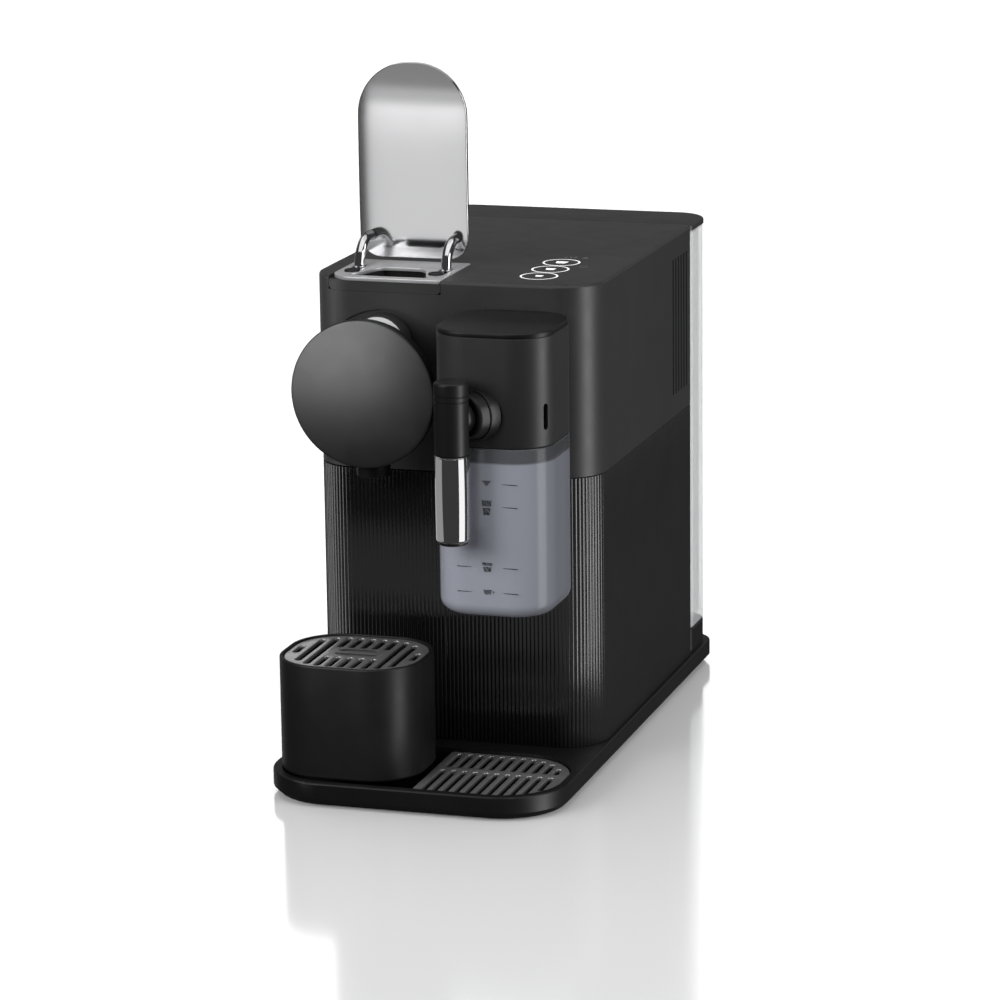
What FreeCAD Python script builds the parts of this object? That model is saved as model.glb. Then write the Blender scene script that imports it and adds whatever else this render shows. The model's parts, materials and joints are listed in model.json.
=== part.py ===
"""Pod coffee machine with a milk jug, a pull-out capsule drawer and a water tank at its back.

Millimetres.  +Z is up, X runs to the right seen from the front, and the front faces -Y.
The origin is on the surface the machine stands on, under the middle of the base.
"""
import FreeCAD, Part
import math
import os
import Sketcher

SIZES = {
    # base tray and its drip pocket
    "base_width": 154.0, "base_depth": 324.0, "base_bottom": 0.8, "base_top": 12.4,
    "base_undercut": 3.2, "base_front_radius": 34.0, "base_rear_radius": 15.0,
    "pocket_floor": 3.2, "pocket_front": -157.5, "pocket_back": -87.0, "pocket_half_width": 72.5,
    "pocket_radius": 29.0, "base_web": 2.5, "screw_hole": 1.6, "post_radius": 4.0,
    "post_height": 14.0, "foot_radius": 8.0, "screw_x": 63.0, "screw_back_y": 108.0,
    "screw_right_y": -30.0, "screw_left_y": 60.0,
    # housings
    "body_width": 150.0, "front_face": -73.0, "body_back": 119.0, "body_front_radius": 22.0,
    "body_back_radius": 5.0, "body_bottom": 12.4, "seam_height": 152.6, "seam_gap": 0.4,
    "machine_height": 250.0, "wall": 2.5, "roof": 3.0, "vent_pitch": 5.5, "vent_count": 6,
    # brewing unit, on one plane x = brew_x
    "brew_x": -34.6, "brew_axis_height": 218.5, "neck_radius": 14.3, "neck_length": 17.0,
    "collar_radius": 13.9, "collar_length": 12.2, "disc_radius": 37.3, "disc_height": 198.2,
    "disc_thickness": 6.5, "disc_dome": 2.4, "nozzle_radius": 8.5, "nozzle_y": -93.2,
    "nozzle_bottom": 154.5, "piston_radius": 18.5, "piston_mouth_y": -37.0, "piston_length": 28.0,
    "rod_radius": 6.0, "rod_length": 44.0, "bush_radius": 3.0, "turning_gap": 0.06,
    # capsule plate on the top, with the slot that the capsule drops through
    "plate_half_width": 29.9, "plate_back": -21.2, "plate_thickness": 1.8, "plate_proud": 0.2,
    "fascia_height": 6.7, "slot_front": -66.5, "slot_half_front": 20.2, "slot_half_back": 13.6,
    "slot_waist_y": -46.0, "slot_back": -40.5, "bumper_radius": 4.0, "bumper_offset": 22.3,
    "bumper_y": -56.0,
    # lever, drawn standing open
    "pivot_y": -31.2, "pivot_height": 245.0, "arm_offset": 23.1, "arm_radius": 2.7,
    "arm_front_y": -42.0, "arm_bend": 4.0, "arm_sweep": 14.0, "shaft_radius": 1.8,
    "eye_radius": 3.2, "eye_half_width": 2.4,
    "lever_half_width": 29.0, "lever_bottom": 252.0, "lever_top": 352.0, "lever_face_y": -23.5,
    "lever_thickness": 2.4, "lever_top_radius": 27.0, "lever_foot_radius": 11.0,
    # capsule drawer with the cup support in front of it
    "drawer_right": -4.6, "drawer_side_depth": 23.0, "bin_back": 38.0, "bin_height": 84.0,
    "cup_left": -72.0, "cup_right": 2.0, "cup_front": -156.0, "cup_back": -91.0,
    "cup_bottom": 12.8, "cup_top": 70.5, "cup_rim_depth": 3.0, "cup_radius": 26.0,
    "cup_pitch": 6.1, "cup_slots": 11,
    "grille_sheet": 2.2, "drip_pitch": 5.6, "drip_slots": 11, "drip_top": 10.9,
    # milk jug
    "jug_left": 7.7, "jug_right": 67.0, "jug_front": -134.9, "jug_back": -73.6,
    "jug_radius": 20.0, "jar_bottom": 95.0, "jar_top": 180.3, "head_top": 237.5,
    "cap_height": 2.5, "plug_bottom": 173.3, "connector_x": 37.3, "connector_height": 205.0,
    # milk spout, whose swivel axis points forwards and to the left
    "boss_x": 33.0, "boss_y": -134.0, "boss_height": 197.0, "boss_turn": 28.0,
    "boss_radius": 12.4, "boss_length": 8.0, "spout_reach": 17.3, "spout_radius": 8.5,
    "spout_top": 216.0, "spout_collar": 180.0, "spout_end": 135.7, "swivel_pin": 4.0,
    # water tank
    "tank_front": 119.6, "tank_back": 159.5, "tank_half_width": 74.4, "tank_radius": 18.0,
    "dock_top": 25.0, "tank_top": 246.6, "tank_wall": 2.2, "tank_floor": 2.8, "valve_y": 139.5,
    "lid_thickness": 3.0, "lid_overhang": 0.6, "lid_hinge_half": 60.0,
    # touch buttons
    "ring_x": 39.0, "ring_radius": 9.7, "ring_first_y": -47.0, "ring_pitch": 20.0,
    "ring_width": 1.0, "ring_sunk": 0.5, "ring_count": 3,
    # works inside the housings
    "frame_half_width": 30.2, "frame_bottom": 198.0, "frame_back": 6.0, "cheek": 3.0,
    "shelf_height": 158.0, "shelf_sheet": 2.5, "shelf_front": -32.0, "pump_x": 38.0, "pump_y": 60.0,
    "pump_foot": 34.0, "pump_base": 46.0, "pump_shoulder": 92.0, "pump_neck": 118.0,
    "pump_top": 130.0, "heater_left": 8.0, "heater_right": 60.0, "heater_front": 0.0,
    "heater_back": 60.0, "heater_bottom": 164.5, "heater_top": 208.0, "fin_pitch": 7.0,
    "fin_count": 7, "meter_y": 94.0, "board_x": 64.0, "gland_y": 92.0, "gland_height": 32.0,
    "gland_radius": 5.0, "milk_tube_y": -104.0, "milk_tube_radius": 3.2,
}

doc = FreeCAD.newDocument("pod_coffee_machine")
sheet = doc.addObject("Spreadsheet::Sheet", "Sizes")
for row, (alias, number) in enumerate(SIZES.items(), 1):
    sheet.set(f"A{row}", alias)
    sheet.set(f"B{row}", str(number))
    sheet.setAlias(f"B{row}", alias)
doc.recompute()


class Size:
    """A number kept together with the spreadsheet expression that gives it."""

    def __init__(self, value, text):
        self.value, self.text = float(value), text

    def _join(self, other, sign, value):
        text = other.text if isinstance(other, Size) else repr(float(other))
        return Size(value, f"({self.text} {sign} {text})")

    def __add__(self, other):
        return self._join(other, "+", self.value + number_of(other))

    def __sub__(self, other):
        return self._join(other, "-", self.value - number_of(other))

    def __mul__(self, other):
        return self._join(other, "*", self.value * number_of(other))

    def __truediv__(self, other):
        return self._join(other, "/", self.value / number_of(other))

    def __radd__(self, other):
        return self + other

    def __rsub__(self, other):
        return -(self - other)

    def __neg__(self):
        return self * -1


class Cells:
    """Gives each spreadsheet cell as a Size, by its alias."""

    def __getattr__(self, alias):
        return Size(SIZES[alias], f"Sizes.{alias}")


d = Cells()
nodes = {}


def number_of(size):
    return size.value if isinstance(size, Size) else float(size)


def bind(target, prop, size):
    """Set a property from a Size, so that it follows the spreadsheet."""
    if isinstance(size, Size):
        target.setExpression(prop, size.text)
    else:
        target.setExpression(prop, repr(float(size)))


def vector(across, up):
    return FreeCAD.Vector(number_of(across), number_of(up), 0)


# ---------------------------------------------------------------- sketched shapes

def pin_point(sketch, geometry, point, across, up):
    """Fix one point of a sketch at bound distances from the sketch's origin."""
    for kind, size in (("DistanceX", across), ("DistanceY", up)):
        if size is None:
            continue
        index = sketch.addConstraint(Sketcher.Constraint(kind, -1, 1, geometry, point, number_of(size)))
        if isinstance(size, Size):
            sketch.setExpression(f"Constraints[{index}]", size.text)


def pin_radius(sketch, geometry, radius):
    index = sketch.addConstraint(Sketcher.Constraint("Radius", geometry, number_of(radius)))
    if isinstance(radius, Size):
        sketch.setExpression(f"Constraints[{index}]", radius.text)


def circle(across, up, radius):
    def draw(sketch):
        shape = Part.Circle(vector(across, up), FreeCAD.Vector(0, 0, 1), number_of(radius))
        geometry = sketch.addGeometry(shape)
        pin_point(sketch, geometry, 3, across, up)
        pin_radius(sketch, geometry, radius)
    return draw


def polygon(*points):
    def draw(sketch):
        first = None
        count = len(points)
        for index, point in enumerate(points):
            line = Part.LineSegment(vector(*point), vector(*points[(index + 1) % count]))
            geometry = sketch.addGeometry(line)
            first = geometry if first is None else first
            pin_point(sketch, geometry, 1, *point)
            if index:
                sketch.addConstraint(Sketcher.Constraint("Coincident", geometry - 1, 2, geometry, 1))
        sketch.addConstraint(Sketcher.Constraint("Coincident", first + count - 1, 2, first, 1))
    return draw


def rounded(left, right, low, high, radii=0):
    """A rectangle; radii go round from the left low corner, anticlockwise, or are one number."""
    radii = radii if isinstance(radii, tuple) else (radii,) * 4
    corners = ((left, low, 1, 1, 180), (right, low, -1, 1, 270), (right, high, -1, -1, 0),
               (left, high, 1, -1, 90))

    def draw(sketch):
        sides = []
        for index, (across, up, _, _, _) in enumerate(corners):
            after = (index + 1) % 4
            step = ((1, 0), (0, 1), (-1, 0), (0, -1))[index]
            start, end = number_of(radii[index]), number_of(radii[after])
            first = vector(across, up) + FreeCAD.Vector(*step, 0) * start
            last = vector(*corners[after][:2]) - FreeCAD.Vector(*step, 0) * end
            sides.append(sketch.addGeometry(Part.LineSegment(first, last)))
            kind = "Horizontal" if step[1] == 0 else "Vertical"
            sketch.addConstraint(Sketcher.Constraint(kind, sides[-1]))
        for index, (across, up, toward_x, toward_y, angle) in enumerate(corners):
            before, after = sides[index - 1], sides[index]
            radius = number_of(radii[index])
            if radius == 0:
                sketch.addConstraint(Sketcher.Constraint("Coincident", before, 2, after, 1))
                continue
            centre = vector(across, up) + FreeCAD.Vector(toward_x, toward_y, 0) * radius
            ring = Part.Circle(centre, FreeCAD.Vector(0, 0, 1), radius)
            arc = sketch.addGeometry(
                Part.ArcOfCircle(ring, math.radians(angle), math.radians(angle + 90)))
            sketch.addConstraint(Sketcher.Constraint("Tangent", before, 2, arc, 1))
            sketch.addConstraint(Sketcher.Constraint("Tangent", arc, 2, after, 1))
            pin_radius(sketch, arc, radii[index])
        pin_point(sketch, sides[0], 1, None, low)
        pin_point(sketch, sides[1], 1, right, None)
        pin_point(sketch, sides[2], 1, None, high)
        pin_point(sketch, sides[3], 1, left, None)
    return draw


# ---------------------------------------------------------------- part design features

PLANES = {"Z": "XY_Plane", "Y": "XZ_Plane", "X": "YZ_Plane"}


def new_body(name):
    body = doc.addObject("PartDesign::Body", name)
    body.Label = name
    body.AllowCompound = True
    return body


def new_sketch(body, axis, place, shapes, origin=(0, 0)):
    """A sketch across an axis at a place on it.  A Y sketch has X across and Z up."""
    sketch = body.newObject("Sketcher::SketchObject", f"{body.Name}_sketch")
    plane = next(o for o in body.Origin.OriginFeatures if o.Role == PLANES[axis])
    sketch.AttachmentSupport = (plane, [""])
    sketch.MapMode = "FlatFace"
    bind(sketch, "AttachmentOffset.Base.z", -place if axis == "Y" else place)
    bind(sketch, "AttachmentOffset.Base.x", origin[0])
    bind(sketch, "AttachmentOffset.Base.y", origin[1])
    for draw in shapes:
        draw(sketch)
    return sketch


def add_prism(body, axis, low, high, *shapes):
    sketch = new_sketch(body, axis, high if axis == "Y" else low, shapes)
    pad = body.newObject("PartDesign::Pad", f"{body.Name}_pad")
    pad.Profile = sketch
    bind(pad, "Length", high - low)
    doc.recompute()
    return pad


def cut_prism(body, axis, low, high, *shapes):
    before = body.Shape.Volume
    sketch = new_sketch(body, axis, low if axis == "Y" else high, shapes)
    pocket = body.newObject("PartDesign::Pocket", f"{body.Name}_pocket")
    pocket.Profile = sketch
    bind(pocket, "Length", high - low)
    doc.recompute()
    if body.Shape.Volume > before - 1e-3:
        raise RuntimeError(f"a pocket of {body.Label} cuts nothing")
    return pocket


def add_turned(body, axis_plane, place, origin, *shapes):
    """Turn a profile a full turn about its sketch's own horizontal axis."""
    sketch = new_sketch(body, axis_plane, place, shapes, origin)
    turned = body.newObject("PartDesign::Revolution", f"{body.Name}_turned")
    turned.Profile = sketch
    turned.ReferenceAxis = (sketch, ["H_Axis"])
    turned.Angle = 360
    doc.recompute()
    return turned


def repeat(body, feature, direction, pitch, count):
    """Repeat a feature along an axis of the body: direction is X, Y or Z."""
    pattern = body.newObject("PartDesign::LinearPattern", f"{body.Name}_row")
    pattern.Originals = [feature]
    axis = next(o for o in body.Origin.OriginFeatures if o.Role == f"{direction}_Axis")
    pattern.Direction = (axis, [""])
    bind(pattern, "Length", pitch * (count - 1))
    bind(pattern, "Occurrences", count)
    body.Tip = pattern
    doc.recompute()
    return pattern


def dress_edges(body, kind, size, choose):
    """Fillet or chamfer the edges that choose(edge) picks."""
    tip = body.Tip
    picked = [f"Edge{i}" for i, edge in enumerate(tip.Shape.Edges, 1) if choose(edge)]
    if not picked:
        raise RuntimeError(f"no edge of {body.Label} is dressed")
    dressed = body.newObject(f"PartDesign::{kind}", f"{body.Name}_{kind.lower()}")
    dressed.Base = (tip, picked)
    bind(dressed, "Radius" if kind == "Fillet" else "Size", size)
    doc.recompute()


def at_level(axis, *places):
    """Picks the edges that lie whole in a plane across an axis."""
    def choose(edge):
        box = edge.BoundBox
        low, high = getattr(box, f"{axis}Min"), getattr(box, f"{axis}Max")
        return any(abs(low - number_of(p)) < 1e-3 and abs(high - number_of(p)) < 1e-3
                   for p in places)
    return choose


# ---------------------------------------------------------------- part primitives

AXIS_TURN = {"Z": FreeCAD.Rotation(), "X": FreeCAD.Rotation(FreeCAD.Vector(0, 1, 0), 90),
             "Y": FreeCAD.Rotation(FreeCAD.Vector(1, 0, 0), -90)}


def place(target, where):
    for letter, size in zip("xyz", where):
        bind(target, f"Placement.Base.{letter}", size)


def cylinder(name, where, radius, length, axis="Z"):
    """A cylinder from a point, along an axis."""
    made = doc.addObject("Part::Cylinder", name)
    made.Placement = FreeCAD.Placement(FreeCAD.Vector(), AXIS_TURN[axis])
    place(made, where)
    bind(made, "Radius", radius)
    bind(made, "Height", length)
    return made


def block(name, low, high):
    """A box between two corners."""
    made = doc.addObject("Part::Box", name)
    place(made, low)
    for prop, start, end in zip(("Length", "Width", "Height"), low, high):
        bind(made, prop, end - start)
    return made


def boolean(kind, name, base, tool):
    made = doc.addObject(f"Part::{kind}", name)
    made.Base, made.Tool = base, tool
    doc.recompute()
    return made


def joined(kind, name, pieces):
    """A MultiFuse, or a Compound of pieces that stay separate solids."""
    made = doc.addObject(f"Part::{kind}", name)
    if kind == "Compound":
        made.Links = pieces
    else:
        made.Shapes = pieces
    doc.recompute()
    return made


def node(name, made):
    """Register a finished sub-part under its name."""
    made.Label = name
    nodes[name] = made
    return made


# ---------------------------------------------------------------- shared outlines

def body_outline(inset=0.0):
    """The outline that both housings share, drawn inset from their outside."""
    half = d.body_width / 2 - inset
    front, back = d.body_front_radius - inset, d.body_back_radius - inset
    return rounded(-half, half, d.front_face + inset, d.body_back - inset,
                   (front, front, back, back))


def jug_outline(inset=0.0):
    return rounded(d.jug_left + inset, d.jug_right - inset, d.jug_front + inset,
                   d.jug_back - inset, d.jug_radius - inset)


def cup_outline(inset=0.0):
    return rounded(d.cup_left + inset, d.cup_right - inset, d.cup_front + inset,
                   d.cup_back - inset, d.cup_radius - inset)


def tank_outline(inset=0.0):
    half = d.tank_half_width - inset
    corner = max(4.0 - inset, 0.5)
    back = d.tank_radius - inset
    return rounded(-half, half, d.tank_front + inset, d.tank_back - inset,
                   (corner, corner, back, back))


def screw_places():
    """Where four screws hold the base to posts of the lower housing, clear of the drawer."""
    return ((d.screw_x, d.screw_back_y), (-d.screw_x, d.screw_back_y),
            (d.screw_x, d.screw_right_y), (-d.screw_x, d.screw_left_y))


# ---------------------------------------------------------------- base

def make_base_tray():
    body = new_body("base_tray")
    half = d.base_width / 2
    front, back = d.base_front_radius, d.base_rear_radius
    add_prism(body, "Z", d.base_bottom, d.base_top,
              rounded(-half, half, -d.base_depth / 2, d.base_depth / 2, (front, front, back, back)))
    dress_edges(body, "Chamfer", d.base_undercut, at_level("Z", d.base_bottom))
    rim_round = 1.0
    dress_edges(body, "Fillet", rim_round, at_level("Z", d.base_top))
    cut_prism(body, "Z", d.pocket_floor, d.base_top,
              rounded(-d.pocket_half_width, d.pocket_half_width, d.pocket_front, d.pocket_back,
                      d.pocket_radius))
    # hollow underside, under the housings
    hollow_half, hollow_front, hollow_back, hollow_radius = 68.0, -80.0, 122.0, 6.0
    cut_prism(body, "Z", d.base_bottom, d.base_top - d.base_web,
              rounded(-hollow_half, hollow_half, hollow_front, hollow_back, hollow_radius))
    for across, along in screw_places():
        cut_prism(body, "Z", d.base_bottom, d.base_top, circle(across, along, d.screw_hole))
    node("base_tray", body)


def make_feet_and_screws():
    foot_x, foot_front, foot_back = 50.0, -136.0, 140.0
    feet = [cylinder("foot", (across, along, 0.0), d.foot_radius, d.base_bottom)
            for across in (-foot_x, foot_x) for along in (foot_front, foot_back)]
    node("rubber_feet", joined("Compound", "feet", feet))
    screws = []
    head_height, head_radius, shank, length = 2.0, 3.2, 1.5, 16.0
    for across, along in screw_places():
        low = d.base_top - d.base_web - head_height
        head = cylinder("screw_head", (across, along, low), head_radius, head_height)
        stem = cylinder("screw_stem", (across, along, low), shank, length)
        screws.append(joined("MultiFuse", "screw", [head, stem]))
    node("base_screws", joined("Compound", "screws", screws))


def make_drip_grille():
    """Steel grille over the drip pocket, to the right of the cup support."""
    low, high = d.drip_top - d.grille_sheet, d.drip_top
    gap = 0.6
    left, right = d.cup_right + gap, d.pocket_half_width - gap
    front, back = d.pocket_front + gap, d.pocket_back - gap
    big, small = d.pocket_radius - gap, 2.0
    plate = new_body("drip_plate")
    add_prism(plate, "Z", low, high, rounded(left, right, front, back, (small, big, big, small)))
    rim, bar_y, bar = 3.0, -116.0, 2.5
    window = new_body("drip_window")
    add_prism(window, "Z", low - 1.0, high + 1.0,
              rounded(left + rim, right - rim, front + rim, bar_y - bar, (1.0, big - rim, 1.0, 1.0)))
    add_prism(window, "Z", low - 1.0, high + 1.0,
              rounded(left + rim, right - rim, bar_y + bar, back - rim,
                      (1.0, 1.0, big - rim - 4.0, 1.0)))
    slot, first = 3.0, left + 4.2
    boxes = [block("drip_slot", (first + d.drip_pitch * i, front, low - 1.0),
                   (first + d.drip_pitch * i + slot, back, high + 1.0))
             for i in range(int(SIZES["drip_slots"]))]
    slots = boolean("Common", "drip_slots", joined("Compound", "drip_boxes", boxes), window)
    pierced = boolean("Cut", "drip_pierced", plate, slots)
    leg = 1.9
    edge, middle = leg + 0.5, (left + right) / 2
    legs = [cylinder("drip_leg", (across, along, d.pocket_floor), leg, low - d.pocket_floor)
            for across, along in ((left + edge, front + edge), (left + edge, back - edge),
                                  (right - edge, bar_y), (middle, bar_y))]
    node("drip_grille", joined("MultiFuse", "drip", [pierced] + legs))


# ---------------------------------------------------------------- housings

def make_lower_housing():
    body = new_body("lower_housing")
    top = d.seam_height
    add_prism(body, "Z", d.body_bottom, top, body_outline())
    cut_prism(body, "Z", d.body_bottom, top, body_outline(SIZES["wall"]))
    wall_x = d.body_width / 2 - 1.0
    post_top = d.body_bottom + d.post_height
    for across, along in screw_places():
        edges = (across, wall_x) if across.value > 0 else (-wall_x, across)
        add_prism(body, "Z", d.body_bottom, post_top,
                  rounded(edges[0], edges[1], along - d.post_radius, along + d.post_radius))
        add_prism(body, "Z", d.body_bottom, post_top, circle(across, along, d.post_radius))
        cut_prism(body, "Z", d.body_bottom, post_top - 0.2, circle(across, along, d.screw_hole))
    # the drawer front takes the whole left front corner
    cut_prism(body, "Z", d.body_bottom - 1.0, top + 1.0,
              rounded(-d.body_width / 2 - 1.0, d.drawer_right + 0.3, d.front_face - 1.0,
                      d.front_face + d.drawer_side_depth + 0.3))
    # bore for the cord gland in the left wall
    cut_prism(body, "X", -d.body_width / 2 - 1.0, -d.body_width / 2 + 4.0,
              circle(d.gland_y, d.gland_height, d.gland_radius))
    node("lower_housing", body)


def make_upper_housing():
    body = new_body("upper_housing")
    low, high = d.seam_height + d.seam_gap, d.machine_height
    add_prism(body, "Z", low, high, body_outline())
    dress_edges(body, "Fillet", 1.6, at_level("Z", high))
    cut_prism(body, "Z", low, high - d.roof, body_outline(SIZES["wall"]))
    # seat of the capsule plate and of the fascia below its front edge
    left, right = d.brew_x - d.plate_half_width - 0.2, d.brew_x + d.plate_half_width + 0.2
    cut_prism(body, "Z", high - d.plate_thickness + d.plate_proud, high + 1.0,
              rounded(left, right, d.front_face - 2.0, d.plate_back + 0.2))
    cut_prism(body, "Z", high - d.roof - 1.0, high,
              rounded(left + 3.0, right - 3.0, d.front_face + 4.0, d.plate_back - 3.0))
    cut_prism(body, "Z", high - d.roof - 1.0, high,
              rounded(left, right, d.pivot_y - 3.6, d.pivot_y + 3.6))
    cut_prism(body, "Z", high - d.fascia_height - 0.1, high,
              rounded(left, right, d.front_face - 2.0, d.front_face + 6.0))
    # shallow round recess behind the front disc, and the neck's hole through the wall
    recess = 0.9
    cut_prism(body, "Y", d.front_face, d.front_face + recess,
              circle(d.brew_x, d.disc_height, d.disc_radius - 0.9))
    cut_prism(body, "Y", d.front_face, d.front_face + 4.0,
              circle(d.brew_x, d.brew_axis_height, d.neck_radius + 0.1))
    cut_prism(body, "Y", d.front_face, d.front_face + 4.0,
              circle(d.connector_x, d.connector_height, 4.6))
    # upright vent grooves near the back of both sides
    groove_low, groove_high, groove, depth, first = 165.0, 238.0, 2.4, 1.2, 78.0
    side = d.body_width / 2
    for low_x, high_x in ((side - depth, side + 1.0), (-side - 1.0, -side + depth)):
        slit = cut_prism(body, "X", low_x, high_x,
                         rounded(first, first + groove, groove_low, groove_high, 0.6))
        repeat(body, slit, "Y", d.vent_pitch, d.vent_count)
    for ring in ring_outlines():
        cut_prism(body, "Z", high - d.ring_sunk, high, *ring)
    node("upper_housing", body)


def ring_outlines():
    """The outer and inner circle of each touch button's ring."""
    places = [d.ring_first_y + d.ring_pitch * i for i in range(int(SIZES["ring_count"]))]
    return [(circle(d.ring_x, along, d.ring_radius),
             circle(d.ring_x, along, d.ring_radius - d.ring_width)) for along in places]


def make_touch_rings():
    rings = new_body("touch_rings")
    for ring in ring_outlines():
        add_prism(rings, "Z", d.machine_height - d.ring_sunk, d.machine_height, *ring)
    node("touch_rings", rings)


def capsule_silhouette(grow):
    """The outline of a capsule lying with its rim to the front, grown outwards."""
    wide, narrow = d.slot_half_front + grow, d.slot_half_back + grow
    rim = d.slot_front + 4.0
    return polygon((d.brew_x - wide, d.slot_front - grow), (d.brew_x + wide, d.slot_front - grow),
                   (d.brew_x + wide, rim), (d.brew_x + narrow + 3.0, rim + 2.0),
                   (d.brew_x + narrow, d.slot_waist_y), (d.brew_x + narrow - 3.5, d.slot_back + grow),
                   (d.brew_x - narrow + 3.5, d.slot_back + grow), (d.brew_x - narrow, d.slot_waist_y),
                   (d.brew_x - narrow - 3.0, rim + 2.0), (d.brew_x - wide, rim))


def make_capsule_plate():
    body = new_body("capsule_plate")
    high = d.machine_height + d.plate_proud
    low = high - d.plate_thickness
    left, right = d.brew_x - d.plate_half_width, d.brew_x + d.plate_half_width
    add_prism(body, "Z", low, high, rounded(left, right, d.front_face + 0.2, d.plate_back,
                                            (14.0, 2.0, 2.0, 2.0)))
    cut_prism(body, "Z", low, high, capsule_silhouette(0.0))
    slot_half, slot_front, slot_back, slot_radius = 3.2, -53.9, -38.2, 2.4
    for side in (-1, 1):
        across = d.brew_x + d.arm_offset * side
        cut_prism(body, "Z", low, high, rounded(across - slot_half, across + slot_half,
                                                slot_front, slot_back, slot_radius))
    dress_edges(body, "Fillet", 0.5, lambda e: at_level("Z", high)(e)
                and e.BoundBox.XLength > 30 and e.BoundBox.YLength < 1)
    node("capsule_plate", body)


def make_capsule_fascia():
    """Dark strip under the plate's front edge, curved with the housing's corner."""
    body = new_body("capsule_fascia")
    low = d.machine_height - d.fascia_height
    high = d.machine_height + d.plate_proud - d.plate_thickness
    add_prism(body, "Z", low, high, body_outline())
    cut_prism(body, "Z", low, high, body_outline(SIZES["wall"]))
    half = d.body_width / 2 + 1.0
    left, right = d.brew_x - d.plate_half_width, d.brew_x + d.plate_half_width
    cut_prism(body, "Z", low, high, rounded(-half, left, d.front_face - 1.0, d.body_back + 1.0))
    cut_prism(body, "Z", low, high, rounded(right, half, d.front_face - 1.0, d.body_back + 1.0))
    cut_prism(body, "Z", low, high, rounded(-half, half, d.front_face + 5.8, d.body_back + 1.0))
    dress_edges(body, "Fillet", 2.2, lambda e: e.BoundBox.ZLength < 1e-3 and e.BoundBox.YLength > 1
                and e.BoundBox.XLength < 1e-3 and abs(e.BoundBox.ZMin - low.value) < 1e-3)
    node("capsule_fascia", body)


def make_bumpers():
    high = d.machine_height + d.plate_proud
    pads = [cylinder("bumper", (d.brew_x + d.bumper_offset * side, d.bumper_y, high),
                     d.bumper_radius, 1.0) for side in (-1, 1)]
    node("lever_bumpers", joined("Compound", "bumpers", pads))


# ---------------------------------------------------------------- brewing unit

def make_brew_frame():
    """Four-walled frame that holds the capsule, the piston and the lever's shaft."""
    body = new_body("brew_frame")
    left, right = d.brew_x - d.frame_half_width, d.brew_x + d.frame_half_width
    front, back = d.front_face + d.wall + 0.2, d.frame_back
    low, high = d.frame_bottom, d.machine_height - d.roof - 0.4
    corner, rear, outlet, mouth_height = 10.0, 4.0, 11.0, 237.0
    add_prism(body, "Z", low, high, rounded(left, right, front, back, (corner, 0, 0, 0)))
    cut_prism(body, "Z", low, high, rounded(left + d.cheek, right - d.cheek, front + d.cheek,
                                            back - rear, (corner - d.cheek, 0, 0, 0)))
    cut_prism(body, "Z", mouth_height, high,
              rounded(left + d.cheek, right - d.cheek, front, front + d.cheek + 1.0))
    cut_prism(body, "Y", back - rear, back,
              circle(d.brew_x, d.brew_axis_height, d.rod_radius + d.turning_gap))
    cut_prism(body, "Y", front, front + d.cheek, circle(d.brew_x, d.brew_axis_height, outlet))
    cut_prism(body, "X", left, right, circle(d.pivot_y, d.pivot_height, d.bush_radius))
    node("brew_frame", body)


def make_lever_bushes():
    rings = []
    length = 2.8
    reach = d.frame_half_width - 0.2
    for start in (d.brew_x - reach, d.brew_x + reach - length):
        outer = cylinder("bush_outer", (start, d.pivot_y, d.pivot_height), d.bush_radius, length, "X")
        bore = cylinder("bush_bore", (start - 1.0, d.pivot_y, d.pivot_height),
                        d.shaft_radius + d.turning_gap, length + 2.0, "X")
        rings.append(boolean("Cut", "bush", outer, bore))
    node("lever_bushes", joined("Compound", "bushes", rings))


def make_capsule_chute():
    body = new_body("capsule_chute")
    low, high = 238.2, d.machine_height + d.plate_proud - d.plate_thickness
    add_prism(body, "Z", low, high, capsule_silhouette(1.6))
    cut_prism(body, "Z", low, high, capsule_silhouette(0.1))
    node("capsule_chute", body)


def make_extraction_plate():
    body = new_body("extraction_plate")
    low = d.front_face + 5.7
    add_prism(body, "Y", low, low + 1.5, circle(d.brew_x, d.brew_axis_height, 15.0))
    hole, pitch = 0.8, 4.0
    holes = [circle(d.brew_x + pitch * i, d.brew_axis_height + pitch * j, hole)
             for i in (-2, -1, 0, 1, 2) for j in (-2, -1, 0, 1, 2) if abs(i) + abs(j) < 4]
    cut_prism(body, "Y", low, low + 1.5, *holes)
    node("extraction_plate", body)


def make_piston():
    body = new_body("brew_piston")
    mouth, rear = d.piston_mouth_y, d.piston_mouth_y + d.piston_length
    tail, crown, lip_radius, cup_radius = rear + d.rod_length, rear - 3.0, 16.4, 12.5
    profile = polygon((mouth, lip_radius), (mouth, d.piston_radius), (rear, d.piston_radius),
                      (rear, d.rod_radius), (tail, d.rod_radius), (tail, 0.0), (crown, 0.0),
                      (crown, cup_radius))
    add_turned(body, "X", d.brew_x, (0, d.brew_axis_height), profile)
    node("brew_piston", body)
    seal = new_body("piston_seal")
    ring = polygon((mouth - 1.2, 16.6), (mouth - 1.2, d.piston_radius - 0.6),
                   (mouth, d.piston_radius - 0.2), (mouth, 16.5))
    add_turned(seal, "X", d.brew_x, (0, d.brew_axis_height), ring)
    node("piston_seal", seal)


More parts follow.
